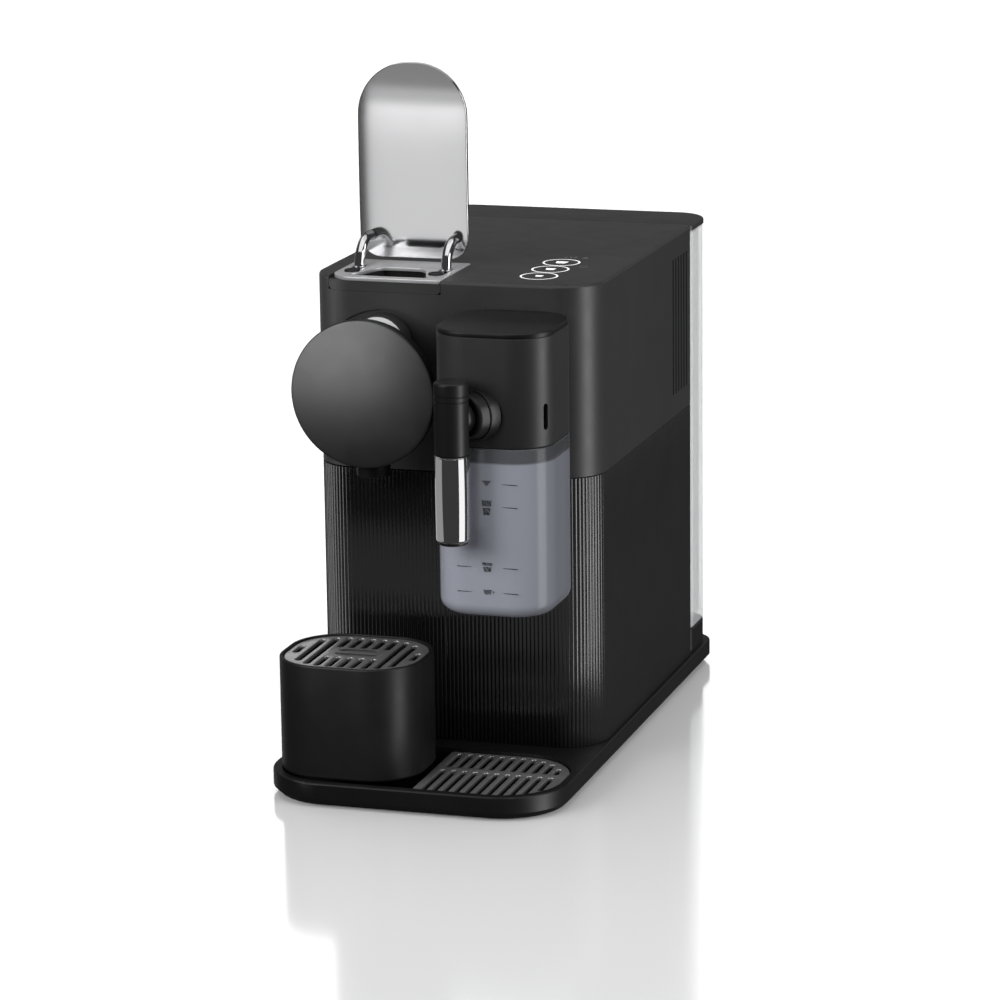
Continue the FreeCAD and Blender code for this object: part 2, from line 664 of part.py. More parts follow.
def make_brew_head():
    """Neck, chrome collar, round front disc and the coffee nozzle behind it."""
    neck = new_body("brew_neck")
    front, rear = d.front_face - d.neck_length, d.front_face + 2.6
    at = (d.brew_x, d.brew_axis_height)
    add_prism(neck, "Y", front, rear, circle(*at, d.neck_radius))
    cut_prism(neck, "Y", front + 2.5, rear, circle(*at, 11.5))
    node("brew_neck", neck)

    collar = new_body("chrome_collar")
    add_prism(collar, "Y", front - d.collar_length, front, circle(*at, d.collar_radius))
    node("chrome_collar", collar)

    disc = new_body("front_disc")
    back = front - d.collar_length
    face, crown = back - d.disc_thickness, back - d.disc_thickness - d.disc_dome
    radius = d.disc_radius

    def disc_profile(sketch):
        """Half section: flat back, upright edge with a small lip, then a shallow dome."""
        lip = 0.8
        points = [(back, 0.0), (back, radius - 1.4), (back - 1.4, radius), (face + lip, radius),
                  (face, radius - lip)]
        for i, (start, end) in enumerate(zip(points, points[1:])):
            line = sketch.addGeometry(Part.LineSegment(vector(*start), vector(*end)))
            pin_point(sketch, line, 1, *start)
            if i:
                sketch.addConstraint(Sketcher.Constraint("Coincident", line - 1, 2, line, 1))
        pin_point(sketch, line, 2, *points[-1])
        chord = number_of(radius) - lip
        bulge = number_of(d.disc_dome)
        dome_radius = (chord ** 2 + bulge ** 2) / (2 * bulge)
        centre_x = number_of(crown) + dome_radius
        sweep = math.asin(chord / dome_radius)
        ring = Part.Circle(FreeCAD.Vector(centre_x, 0, 0), FreeCAD.Vector(0, 0, 1), dome_radius)
        arc = sketch.addGeometry(Part.ArcOfCircle(ring, math.pi - sweep, math.pi))
        sketch.addConstraint(Sketcher.Constraint("Coincident", line, 2, arc, 1))
        pin_point(sketch, arc, 2, crown, 0.0)
        pin_point(sketch, arc, 3, None, 0.0)
        close = sketch.addGeometry(Part.LineSegment(vector(crown, 0.0), vector(back, 0.0)))
        sketch.addConstraint(Sketcher.Constraint("Coincident", arc, 2, close, 1))
        sketch.addConstraint(Sketcher.Constraint("Coincident", close, 2, 0, 1))

    add_turned(disc, "X", d.brew_x, (0, d.disc_height), disc_profile)
    node("front_disc", disc)

    bore = 3.0
    tube = cylinder("nozzle_tube", (d.brew_x, d.nozzle_y, d.nozzle_bottom), d.nozzle_radius, 60.0)
    drill = cylinder("nozzle_drill", (d.brew_x, d.nozzle_y, d.nozzle_bottom - 1.0), bore, 50.0)
    mouth = doc.addObject("Part::Cone", "nozzle_mouth")
    place(mouth, (d.brew_x, d.nozzle_y, d.nozzle_bottom))
    bind(mouth, "Radius1", 6.5)
    bind(mouth, "Radius2", bore)
    bind(mouth, "Height", 7.0)
    saddle = cylinder("nozzle_saddle", (d.brew_x, front - d.collar_length, d.brew_axis_height),
                      d.neck_radius + 0.02, 60.0, "Y")
    hollow = joined("MultiFuse", "nozzle_hollow", [drill, mouth, saddle])
    node("coffee_nozzle", boolean("Cut", "nozzle", tube, hollow))


# ---------------------------------------------------------------- lever

def make_lever():
    plate = new_body("lever_plate")
    left, right = d.brew_x - d.lever_half_width, d.brew_x + d.lever_half_width
    top, foot = d.lever_top_radius, d.lever_foot_radius
    add_prism(plate, "Y", d.lever_face_y, d.lever_face_y + d.lever_thickness,
              rounded(left, right, d.lever_bottom, d.lever_top, (foot, foot, top, top)))
    dress_edges(plate, "Fillet", 0.6,
                at_level("Y", d.lever_face_y, d.lever_face_y + d.lever_thickness))
    node("lever_plate", plate)

    arms = new_body("lever_arms")
    bend_y, sweep_y = d.arm_front_y + d.arm_bend, d.arm_front_y + d.arm_sweep
    bend_z, sweep_z = d.pivot_height + d.arm_bend, d.pivot_height + d.arm_bend + d.arm_sweep
    start_y = d.pivot_y - 1.0

    def arm_path(sketch):
        """From the shaft forwards, up through the plate's slot and back to the lever plate."""
        first = sketch.addGeometry(Part.LineSegment(vector(start_y, d.pivot_height),
                                                    vector(bend_y, d.pivot_height)))
        low = Part.Circle(vector(bend_y, bend_z), FreeCAD.Vector(0, 0, 1), number_of(d.arm_bend))
        lower = sketch.addGeometry(Part.ArcOfCircle(low, math.pi, 1.5 * math.pi))
        high = Part.Circle(vector(sweep_y, bend_z), FreeCAD.Vector(0, 0, 1), number_of(d.arm_sweep))
        upper = sketch.addGeometry(Part.ArcOfCircle(high, 0.5 * math.pi, math.pi))
        last = sketch.addGeometry(Part.LineSegment(vector(sweep_y, sweep_z),
                                                   vector(d.lever_face_y, sweep_z)))
        pin_point(sketch, first, 1, start_y, d.pivot_height)
        pin_point(sketch, lower, 3, bend_y, bend_z)
        pin_point(sketch, upper, 3, sweep_y, bend_z)
        pin_point(sketch, last, 2, d.lever_face_y, sweep_z)
        sketch.addConstraint(Sketcher.Constraint("Tangent", first, 2, lower, 2))
        sketch.addConstraint(Sketcher.Constraint("Tangent", lower, 1, upper, 2))
        sketch.addConstraint(Sketcher.Constraint("Tangent", upper, 1, last, 1))

    for side in (-1, 1):
        across = d.brew_x + d.arm_offset * side
        path = new_sketch(arms, "X", across, (arm_path,))
        profile = new_sketch(arms, "Y", start_y, (circle(across, d.pivot_height, d.arm_radius),))
        pipe = arms.newObject("PartDesign::AdditivePipe", "lever_rod")
        pipe.Profile = profile
        pipe.Spine = (path, [])
        doc.recompute()
        add_prism(arms, "X", across - d.eye_half_width, across + d.eye_half_width,
                  circle(d.pivot_y, d.pivot_height, d.eye_radius))
    half = d.arm_offset + 6.0
    cut_prism(arms, "X", d.brew_x - half, d.brew_x + half,
              circle(d.pivot_y, d.pivot_height, d.shaft_radius))
    node("lever_arms", arms)
    reach = d.frame_half_width - 0.6
    node("lever_shaft", cylinder("shaft", (d.brew_x - reach, d.pivot_y, d.pivot_height),
                                 d.shaft_radius, reach * 2, "X"))


# ---------------------------------------------------------------- capsule drawer

def make_drawer():
    front = new_body("drawer_front")
    low, high = d.body_bottom + 0.5, d.seam_height - 0.2
    left = -d.body_width / 2
    back = d.front_face + d.drawer_side_depth
    skin = 3.0
    add_prism(front, "Z", low, high,
              rounded(left, d.drawer_right, d.front_face, back, (d.body_front_radius, 0, 0, 0)))
    cut_prism(front, "Z", low, high,
              rounded(left + skin, d.drawer_right + 1.0, d.front_face + skin, back + 1.0,
                      (d.body_front_radius - skin, 0, 0, 0)))
    node("drawer_front", front)

    tub = new_body("capsule_bin")
    bin_low, bin_wall, big, small = d.body_bottom + 1.4, 1.8, 20.0, 3.0

    def bin_outline(inset):
        return rounded(left + skin + 0.5 + inset, d.drawer_right - 3.8 - inset,
                       d.front_face + skin + inset, d.bin_back - inset,
                       (big - inset, small - inset, small - inset, small - inset))

    add_prism(tub, "Z", bin_low, bin_low + d.bin_height, bin_outline(0.0))
    cut_prism(tub, "Z", bin_low + bin_wall, bin_low + d.bin_height, bin_outline(bin_wall))
    node("capsule_bin", tub)

    cup = new_body("cup_support")
    rim, shell, floor, edge = 2.0, 4.5, 3.0, 1.0
    ledge = d.cup_top - d.cup_rim_depth
    add_prism(cup, "Z", d.cup_bottom, d.cup_top, cup_outline())
    dress_edges(cup, "Fillet", edge, at_level("Z", d.cup_top, d.cup_bottom))
    cut_prism(cup, "Z", ledge, d.cup_top, cup_outline(rim))
    cut_prism(cup, "Z", d.cup_bottom + floor, ledge, cup_outline(shell))
    # low tongue that ties the cup support to the drawer front
    tongue_half, tongue_top = 24.0, 30.0
    add_prism(cup, "Z", d.cup_bottom + 0.1, tongue_top,
              rounded(d.brew_x - tongue_half, d.brew_x + tongue_half, d.cup_back - 1.5, d.front_face))
    node("cup_support", cup)


def make_cup_grille():
    """Round-cornered steel grille with an oval finger hole that a thin bar crosses."""
    plate = new_body("cup_plate")
    low = d.cup_top - d.cup_rim_depth
    high = low + d.grille_sheet
    gap, rim = 2.3, 3.3
    add_prism(plate, "Z", low, high, cup_outline(gap))
    centre_x = (d.cup_left + d.cup_right) / 2
    centre_y = (d.cup_front + d.cup_back) / 2
    window = new_body("cup_window")
    add_prism(window, "Z", low - 1.0, high + 1.0, cup_outline(gap + rim))
    hole_half_x, hole_half_y, hole_radius, lip = 11.0, 6.5, 6.0, 2.2
    slot, bar_half = 3.4, 1.0
    middle = int(SIZES["cup_slots"]) // 2
    boxes = []
    for i in range(-middle, middle + 1):
        across = centre_x + d.cup_pitch * i
        if abs(number_of(d.cup_pitch) * i) < hole_half_x + lip:
            spans = ((d.cup_front, centre_y - hole_half_y - lip),
                     (centre_y + hole_half_y + lip, d.cup_back))
        else:
            spans = ((d.cup_front, d.cup_back),)
        boxes += [block("cup_slot", (across - slot / 2, start, low - 1.0),
                        (across + slot / 2, end, high + 1.0)) for start, end in spans]
    slots = boolean("Common", "cup_slots", joined("Compound", "cup_boxes", boxes), window)
    pierced = boolean("Cut", "cup_pierced", plate, slots)
    hole = new_body("finger_hole")
    add_prism(hole, "Z", low - 1.0, high + 1.0,
              rounded(centre_x - hole_half_x, centre_x + hole_half_x, centre_y - hole_half_y,
                      centre_y + hole_half_y, hole_radius))
    opened = boolean("Cut", "cup_opened", pierced, hole)
    reach = hole_half_x + 0.5
    bar = block("finger_bar", (centre_x - reach, centre_y - bar_half, low),
                (centre_x + reach, centre_y + bar_half, high))
    node("cup_grille", joined("MultiFuse", "cup_grille_made", [opened, bar]))


def make_drawer_bay():
    """Inner walls that part the drawer's space from the works."""
    body = new_body("drawer_bay")
    low, high = d.body_bottom + 0.1, d.seam_height - 0.6
    left, right = -d.body_width / 2 + d.wall + 0.1, d.drawer_right + 2.6
    front, back = d.front_face + 4.0, d.bin_back + 6.0
    skin = 2.0
    drop_left, drop_right, drop_back = -60.0, -9.5, -36.0
    corner_x, corner_y = -57.6, -48.0
    add_prism(body, "Z", low, high, rounded(left, right, front, back))
    cut_prism(body, "Z", low, high - skin,
              rounded(left - 1.0, right - skin, front - 1.0, back - skin))
    # mouth that used capsules fall through, and room for the drawer front's corner
    cut_prism(body, "Z", high - skin, high, rounded(drop_left, drop_right, front - 1.0, drop_back))
    cut_prism(body, "Z", low, high, rounded(left - 1.0, corner_x, front - 1.0, corner_y))
    node("drawer_bay", body)


# ---------------------------------------------------------------- milk jug

def make_milk_head():
    shell = new_body("head_casing")
    low, high = d.jar_top + 0.3, d.head_top - d.cap_height - 0.2
    skin, top_skin, socket = 2.4, 3.0, 5.4
    add_prism(shell, "Z", low, high, jug_outline())
    cut_prism(shell, "Z", low, high - top_skin, jug_outline(skin))
    cut_prism(shell, "Y", d.jug_back - 4.0, d.jug_back,
              circle(d.connector_x, d.connector_height, socket))
    # upright slot in the right front corner
    slot_left, slot_right, slot_front, slot_back = 61.0, 69.0, -129.0, -126.0
    slot_low, slot_high = 189.0, 202.0
    cut_prism(shell, "Z", slot_low, slot_high, rounded(slot_left, slot_right, slot_front, slot_back))
    boss = doc.addObject("Part::Cone", "boss_cone")
    rotation = swivel_rotation()
    inside = 3.6
    start = swivel_point(-inside)
    boss.Placement = FreeCAD.Placement(FreeCAD.Vector(), rotation)
    place(boss, start)
    bind(boss, "Radius1", d.boss_radius)
    bind(boss, "Radius2", d.boss_radius - 2.0)
    bind(boss, "Height", d.boss_length + inside)
    bore = doc.addObject("Part::Cylinder", "boss_bore")
    bore.Placement = FreeCAD.Placement(FreeCAD.Vector(), rotation)
    place(bore, swivel_point(1.0))
    bind(bore, "Radius", d.swivel_pin + d.turning_gap)
    bind(bore, "Height", d.boss_length + 2.0)
    whole = joined("MultiFuse", "head_fused", [shell, boss])
    node("head_shell", boolean("Cut", "head_bored", whole, bore))

    cap = new_body("head_cap")
    shadow_gap, edge = 0.5, 1.0
    add_prism(cap, "Z", high, d.head_top, jug_outline())
    dress_edges(cap, "Fillet", edge, at_level("Z", d.head_top))
    cut_prism(cap, "Z", high, high + shadow_gap, jug_outline(), jug_outline(shadow_gap))
    node("head_cap", cap)

    plug = new_body("head_plug")
    plug_top, plug_gap, plug_wall, plug_floor = 184.0, 2.8, 2.4, 3.0
    tube_at = (d.connector_x, d.milk_tube_y)
    add_prism(plug, "Z", d.plug_bottom, plug_top, jug_outline(plug_gap))
    cut_prism(plug, "Z", d.plug_bottom + plug_floor, plug_top, jug_outline(plug_gap + plug_wall))
    cut_prism(plug, "Z", d.plug_bottom, d.plug_bottom + plug_floor,
              circle(*tube_at, d.milk_tube_radius + d.turning_gap))
    node("head_plug", plug)

    tube = new_body("milk_tube")
    tube_wall, mixer_low, mixer_high = 1.2, 200.0, 214.0
    add_prism(tube, "Z", d.jar_bottom + 8.0, mixer_low, circle(*tube_at, d.milk_tube_radius),
              circle(*tube_at, d.milk_tube_radius - tube_wall))
    node("milk_tube", tube)

    mixer = new_body("milk_mixer")
    mixer_half, mixer_front, mixer_back, port = 10.3, -122.0, -90.0, 3.0
    add_prism(mixer, "Z", mixer_low, mixer_high,
              rounded(d.connector_x - mixer_half, d.connector_x + mixer_half, mixer_front,
                      mixer_back, 3.0))
    cut_prism(mixer, "Y", mixer_back - 8.0, mixer_back,
              circle(d.connector_x, d.connector_height + 2.0, port))
    node("milk_mixer", mixer)


def swivel_rotation():
    """Turns a shape's own Z onto the spout's swivel axis."""
    turn = math.radians(number_of(d.boss_turn))
    axis = FreeCAD.Vector(-math.sin(turn), -math.cos(turn), 0)
    return FreeCAD.Rotation(FreeCAD.Vector(0, 0, 1), axis)


def swivel_point(along):
    """The point of the swivel axis at a distance out from the jug's face."""
    sine = Size(math.sin(math.radians(SIZES["boss_turn"])), "sin(Sizes.boss_turn * 1 deg)")
    cosine = Size(math.cos(math.radians(SIZES["boss_turn"])), "cos(Sizes.boss_turn * 1 deg)")
    return (d.boss_x - sine * along, d.boss_y - cosine * along, d.boss_height)


def make_jar():
    body = new_body("milk_jar")
    wall, floor, foot_round = 2.1, 2.6, 6.0
    add_prism(body, "Z", d.jar_bottom, d.jar_top, jug_outline())
    dress_edges(body, "Fillet", foot_round, at_level("Z", d.jar_bottom))
    cut_prism(body, "Z", d.jar_bottom + floor, d.jar_top, jug_outline(wall))
    node("milk_jar", body)


def make_spout():
    rotation = swivel_rotation()
    across, along, _ = swivel_point(d.spout_reach)
    barrel = cylinder("spout_barrel", (across, along, d.spout_collar), d.spout_radius,
                      d.spout_top - d.spout_collar)
    neck = doc.addObject("Part::Cylinder", "spout_neck")
    neck.Placement = FreeCAD.Placement(FreeCAD.Vector(), rotation)
    place(neck, swivel_point(d.boss_length + 0.3))
    neck_radius, pin_start, channel_radius, channel_length = 6.8, 1.6, 3.0, 18.0
    bind(neck, "Radius", neck_radius)
    bind(neck, "Height", d.spout_reach - d.boss_length - 0.3)
    pin = doc.addObject("Part::Cylinder", "spout_pin")
    pin.Placement = FreeCAD.Placement(FreeCAD.Vector(), rotation)
    place(pin, swivel_point(pin_start))
    bind(pin, "Radius", d.swivel_pin)
    bind(pin, "Height", d.spout_reach - pin_start)
    fused = joined("MultiFuse", "spout_fused", [barrel, neck, pin])
    channel = cylinder("spout_channel", (across, along, d.spout_collar - 1.0), channel_radius,
                       channel_length)
    node("spout_upper", boolean("Cut", "spout_bored", fused, channel))

    sleeve = new_body("spout_sleeve")
    tip_radius, tip_bore, tip_proud = 7.2, 4.0, 1.4
    add_prism(sleeve, "Z", d.spout_end + tip_proud, d.spout_collar,
              circle(across, along, d.spout_radius), circle(across, along, tip_radius))
    node("spout_sleeve", sleeve)
    tip = new_body("spout_tip")
    add_prism(tip, "Z", d.spout_end, d.spout_collar, circle(across, along, tip_radius),
              circle(across, along, tip_bore))
    node("spout_tip", tip)


def make_steam_connector():
    body = new_body("steam_connector")
    at = (d.connector_x, d.connector_height)
    reach, stem, flange, bore = 12.0, 4.5, 9.0, 2.0
    inner_face = d.front_face + d.wall + 0.1
    add_prism(body, "Y", d.front_face - reach, d.front_face + reach, circle(*at, stem))
    add_prism(body, "Y", inner_face, inner_face + 3.4, circle(*at, flange))
    cut_prism(body, "Y", d.front_face - reach, d.front_face + reach - 1.0, circle(*at, bore))
    node("steam_connector", body)


# ---------------------------------------------------------------- water tank

def make_tank_dock():
    dock = new_body("tank_dock")
    well, well_radius, seat_height, seat_bore = 6.0, 11.0, 3.0, 4.0
    add_prism(dock, "Z", d.base_top, d.dock_top, tank_outline())
    cut_prism(dock, "Z", d.dock_top - well, d.dock_top, circle(0.0, d.valve_y, well_radius))
    node("tank_dock", dock)
    seat = new_body("valve_seat")
    add_prism(seat, "Z", d.dock_top - well, d.dock_top - well + seat_height,
              circle(0.0, d.valve_y, well_radius - 0.1), circle(0.0, d.valve_y, seat_bore))
    node("valve_seat", seat)


def make_tank():
    low = d.dock_top + 0.3
    floor_top = low + d.tank_floor
    stem, flange, bore, foot_round = 7.0, 9.0, 3.0, 2.0
    tank = new_body("water_tank")
    add_prism(tank, "Z", low, d.tank_top, tank_outline())
    dress_edges(tank, "Fillet", foot_round, at_level("Z", low))
    cut_prism(tank, "Z", floor_top, d.tank_top, tank_outline(SIZES["tank_wall"]))
    cut_prism(tank, "Z", low, floor_top, circle(0.0, d.valve_y, stem))
    node("water_tank", tank)
    valve = new_body("tank_valve")
    add_prism(valve, "Z", low - 2.0, floor_top, circle(0.0, d.valve_y, stem))
    add_prism(valve, "Z", floor_top, floor_top + 4.2, circle(0.0, d.valve_y, flange))
    cut_prism(valve, "Z", low - 2.0, floor_top + 2.2, circle(0.0, d.valve_y, bore))
    node("tank_valve", valve)


def make_tank_lid():
    """Lid whose back edge is a round bead that it turns about, with a skirt inside the tank."""
    lid = new_body("tank_lid")
    top = d.machine_height
    under = top - d.lid_thickness
    half, back = d.tank_half_width + d.lid_overhang, d.tank_back + d.lid_overhang
    corner = d.tank_radius + d.lid_overhang
    bead = d.lid_thickness / 2
    hinge_y, hinge_z = back - bead, top - bead
    edge, skirt_drop, skirt_gap, skirt_wall = 1.2, 3.6, 1.0, 1.4
    add_prism(lid, "Z", under, top, rounded(-half, half, d.body_back + 0.4, back,
                                            (3.0, 3.0, corner, corner)))
    dress_edges(lid, "Fillet", edge, at_level("Z", top))
    cut_prism(lid, "Z", under, top, rounded(-half - 1.0, half + 1.0, hinge_y, back + 1.0))
    add_prism(lid, "X", -d.lid_hinge_half, d.lid_hinge_half, circle(hinge_y, hinge_z, bead))
    outer = SIZES["tank_wall"] + skirt_gap
    add_prism(lid, "Z", under - skirt_drop, under, tank_outline(outer))
    cut_prism(lid, "Z", under - skirt_drop, under, tank_outline(outer + skirt_wall))
    node("tank_lid", lid)


# ---------------------------------------------------------------- works inside the housings

def make_chassis():
    """Shelf above the drawer and the pump, with two cheeks that carry the brewing frame."""
    body = new_body("chassis")
    shelf = d.shelf_height
    half, back = d.body_width / 2 - d.wall - 0.3, d.body_back - d.wall - 0.3
    add_prism(body, "Z", shelf, shelf + d.shelf_sheet,
              rounded(-half, half, d.shelf_front, back, 2.0))
    reach = d.frame_half_width
    for across in (d.brew_x - reach, d.brew_x + reach - d.cheek):
        add_prism(body, "Z", shelf, d.frame_bottom,
                  rounded(across, across + d.cheek, d.shelf_front, d.frame_back))
    hose_left, hose_right, hose_front, hose_back = 8.0, 62.0, 84.0, 110.0
    cut_prism(body, "Z", shelf, shelf + d.shelf_sheet,
              rounded(hose_left, hose_right, hose_front, hose_back, 4.0))
    node("chassis", body)


def make_pump():
    """Solenoid pump standing in two rubber rings on a bent bracket."""
    at = (d.pump_x, d.pump_y)
    half_x, half_y, coil_radius, neck_radius, foot_radius = 22.0, 20.0, 15.0, 5.0, 12.0
    body = new_body("pump")
    add_prism(body, "Z", d.pump_base, d.pump_shoulder,
              rounded(at[0] - half_x, at[0] + half_x, at[1] - half_y, at[1] + half_y, 4.0))
    add_prism(body, "Z", d.pump_shoulder, d.pump_neck, circle(*at, coil_radius))
    add_prism(body, "Z", d.pump_neck, d.pump_top, circle(*at, neck_radius))
    add_prism(body, "Z", d.pump_foot, d.pump_base, circle(*at, foot_radius))
    node("pump", body)

    rings = new_body("pump_mounts")
    ring_height = 10.0
    for low, bore, radius in ((d.pump_shoulder + 6.0, coil_radius, 20.0),
                              (d.pump_foot, foot_radius, 18.0)):
        add_prism(rings, "Z", low, low + ring_height, circle(*at, radius),
                  circle(*at, bore + d.turning_gap))
    node("pump_mounts", rings)

    bracket = new_body("pump_bracket")
    bracket_half, sheet, flange = 18.0, 2.0, 2.5
    add_prism(bracket, "Z", d.body_bottom, d.pump_foot,
              rounded(at[0] - bracket_half, at[0] + bracket_half, at[1] - bracket_half,
                      at[1] + bracket_half, 3.0))
    inner = bracket_half - sheet
    cut_prism(bracket, "Z", d.body_bottom, d.pump_foot - flange,
              rounded(at[0] - inner, at[0] + inner, at[1] - 20.0, at[1] + 20.0))
    node("pump_bracket", bracket)


def make_thermoblock():
    """Finned heater block on four feet."""
    body = new_body("thermoblock")
    fin_depth, fin_gap, first, end = 18.0, 3.0, 4.0, 6.0
    add_prism(body, "Z", d.heater_bottom, d.heater_top,
              rounded(d.heater_left, d.heater_right, d.heater_front, d.heater_back, 5.0))
    start = d.heater_left + first
    fin = cut_prism(body, "Z", d.heater_top - fin_depth, d.heater_top,
                    rounded(start, start + fin_gap, d.heater_front + end, d.heater_back - end))
    repeat(body, fin, "X", d.fin_pitch, d.fin_count)
    foot_radius, inset_x, inset_y = 4.0, 8.0, 10.0
    for across in (d.heater_left + inset_x, d.heater_right - inset_x):
        for along in (d.heater_front + inset_y, d.heater_back - inset_y):
            add_prism(body, "Z", d.shelf_height + d.shelf_sheet, d.heater_bottom + 0.1,
                      circle(across, along, foot_radius))
    node("thermoblock", body)


def make_small_works():
    """Flow meter, control board with two tall components, and the cord's gland."""
    meter = new_body("flow_meter")
    meter_low, meter_high, meter_radius = 16.0, 30.0, 11.0
    add_prism(meter, "Z", meter_low, meter_high, circle(d.pump_x, d.meter_y, meter_radius))
    node("flow_meter", meter)

    board = new_body("control_board")
    sheet = 1.6
    board_front, board_back, board_low, board_high = -52.0, 40.0, 170.0, 238.0
    add_prism(board, "X", d.board_x, d.board_x + sheet,
              rounded(board_front, board_back, board_low, board_high, 2.0))
    relay, filter_block = (-40.0, -18.0, 182.0, 204.0), (-8.0, 10.0, 212.0, 228.0)
    add_prism(board, "X", d.board_x - 8.0, d.board_x, rounded(*relay))
    add_prism(board, "X", d.board_x - 4.0, d.board_x, rounded(*filter_block))
    node("control_board", board)

    gland = new_body("cord_gland")
    side, at = -d.body_width / 2, (d.gland_y, d.gland_height)
    collar, proud, inside, bore = 8.0, 1.6, 6.0, 3.6
    add_prism(gland, "X", side - proud, side, circle(*at, collar), circle(*at, bore))
    add_prism(gland, "X", side, side + inside, circle(*at, d.gland_radius - 0.1),
              circle(*at, bore))
    node("cord_gland", gland)


def make_hose(name, across, points, bend, radius):
    """A hose in the plane x = across: straight runs joined by tangent arcs, first run upright."""
    body = new_body(name)

    def path(sketch):
        corners = [FreeCAD.Vector(*p, 0) for p in points]
        cursor = corners[0]
        for before, corner, after in zip(corners, corners[1:], corners[2:]):
            back, ahead = (before - corner).normalize(), (after - corner).normalize()
            half = back.getAngle(ahead) / 2
            cut = bend / math.tan(half)
            first, last = corner + back * cut, corner + ahead * cut
            centre = corner + (back + ahead).normalize() * (bend / math.sin(half))
            middle = centre - (back + ahead).normalize() * bend
            sketch.addGeometry(Part.LineSegment(cursor, first))
            sketch.addGeometry(Part.Arc(first, middle, last))
            cursor = last
        sketch.addGeometry(Part.LineSegment(cursor, corners[-1]))
        for index in range(sketch.GeometryCount):
            sketch.addConstraint(Sketcher.Constraint("Block", index))

    spine = new_sketch(body, "X", across, (path,))
    profile = new_sketch(body, "Z", points[0][1], (circle(across, points[0][0], radius),))
    pipe = body.newObject("PartDesign::AdditivePipe", f"{name}_pipe")
    pipe.Profile = profile
    pipe.Spine = (spine, [])
    doc.recompute()
    node(name, body)


def make_hoses():
    """Hose from the flow meter upwards, and hose from the pump to the back of the heater."""
    radius = 2.5
    meter_y, meter_top = SIZES["meter_y"], 30.0
    make_hose("inlet_hose", SIZES["pump_x"] + 8.0,
              ((meter_y, meter_top), (meter_y, 142.0), (meter_y - 16.0, 148.0)), 6.0, radius)
    pump_y, pump_top, heater_back = SIZES["pump_y"], SIZES["pump_top"], SIZES["heater_back"]
    turn_height, behind, inlet_height = pump_top + 14.0, heater_back + 28.0, 190.0
    make_hose("pressure_hose", SIZES["pump_x"],
              ((pump_y, pump_top), (pump_y, turn_height), (behind, turn_height),
               (behind, inlet_height), (heater_back, inlet_height)), 8.0, radius)


make_base_tray()
make_feet_and_screws()
make_drip_grille()
make_lower_housing()
make_upper_housing()
make_touch_rings()
make_capsule_plate()
make_capsule_fascia()
make_bumpers()
make_brew_frame()
make_lever_bushes()
make_capsule_chute()
make_extraction_plate()
make_piston()
make_brew_head()
make_lever()
make_drawer()
make_cup_grille()
make_drawer_bay()
make_milk_head()
make_jar()
make_spout()
make_steam_connector()
make_tank_dock()
make_tank()
make_tank_lid()
make_chassis()
make_pump()
make_thermoblock()
make_small_works()
make_hoses()

doc.recompute()
for made in doc.Objects:
    if "Invalid" in made.State or "Error" in made.State:
        raise RuntimeError(f"{made.Label} did not recompute: {made.State}")
os.makedirs("parts", exist_ok=True)
for name, made in nodes.items():
    shape = made.Shape
    if shape.isNull() or not shape.isValid() or not shape.Solids:
        raise RuntimeError(f"{name} has no valid solid")
    shape.exportStep(f"parts/{name}.step")
print(len(nodes), "nodes written")
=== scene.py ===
"""Looks of a pod coffee machine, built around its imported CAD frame.  Metres, +Z up, front -Y."""
import json
import math

import bmesh
import bpy
from mathutils import Matrix, Vector

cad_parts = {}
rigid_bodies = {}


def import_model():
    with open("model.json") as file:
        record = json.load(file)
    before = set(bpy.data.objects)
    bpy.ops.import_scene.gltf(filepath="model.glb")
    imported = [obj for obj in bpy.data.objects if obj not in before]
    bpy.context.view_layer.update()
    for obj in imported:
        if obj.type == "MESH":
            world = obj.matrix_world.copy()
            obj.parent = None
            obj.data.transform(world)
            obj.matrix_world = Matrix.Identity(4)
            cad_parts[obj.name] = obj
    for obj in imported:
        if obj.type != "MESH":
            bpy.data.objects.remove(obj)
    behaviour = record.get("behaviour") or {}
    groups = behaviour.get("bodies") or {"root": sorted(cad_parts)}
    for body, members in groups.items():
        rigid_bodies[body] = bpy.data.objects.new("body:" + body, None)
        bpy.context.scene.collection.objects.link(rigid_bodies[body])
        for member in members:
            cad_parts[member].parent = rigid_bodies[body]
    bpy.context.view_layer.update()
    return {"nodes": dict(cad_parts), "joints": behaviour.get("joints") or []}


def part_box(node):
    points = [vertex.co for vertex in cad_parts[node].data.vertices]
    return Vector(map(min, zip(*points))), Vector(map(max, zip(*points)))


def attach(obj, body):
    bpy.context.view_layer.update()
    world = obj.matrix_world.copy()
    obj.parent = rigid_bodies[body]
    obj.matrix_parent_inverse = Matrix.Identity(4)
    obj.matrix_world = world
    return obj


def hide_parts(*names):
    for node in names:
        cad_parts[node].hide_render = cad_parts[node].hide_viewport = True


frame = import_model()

MM = 0.001
TURN = 2 * math.pi


def in_mm(*pairs):
    """Pairs of numbers given in millimetres, in metres."""
    return [(a * MM, b * MM) for a, b in pairs]


# ---------------- materials

MATERIALS = {}
NOISE_LOW, NOISE_HIGH = 0.3, 0.7    # Blender's noise seldom leaves this range
EVEN = (1, 1, 1)


def new_material(name, color, roughness, metallic=0.0, **sockets):
    """A principled material; sockets are further constant inputs by name."""
    made = bpy.data.materials.new(name)
    made.use_nodes = True
    shader = made.node_tree.nodes["Principled BSDF"]
    shader.inputs["Base Color"].default_value = (*color, 1.0)
    shader.inputs["Roughness"].default_value = roughness
    shader.inputs["Metallic"].default_value = metallic
    for socket, value in sockets.items():
        shader.inputs[socket.replace("_", " ")].default_value = value
    MATERIALS[name] = made
    return made


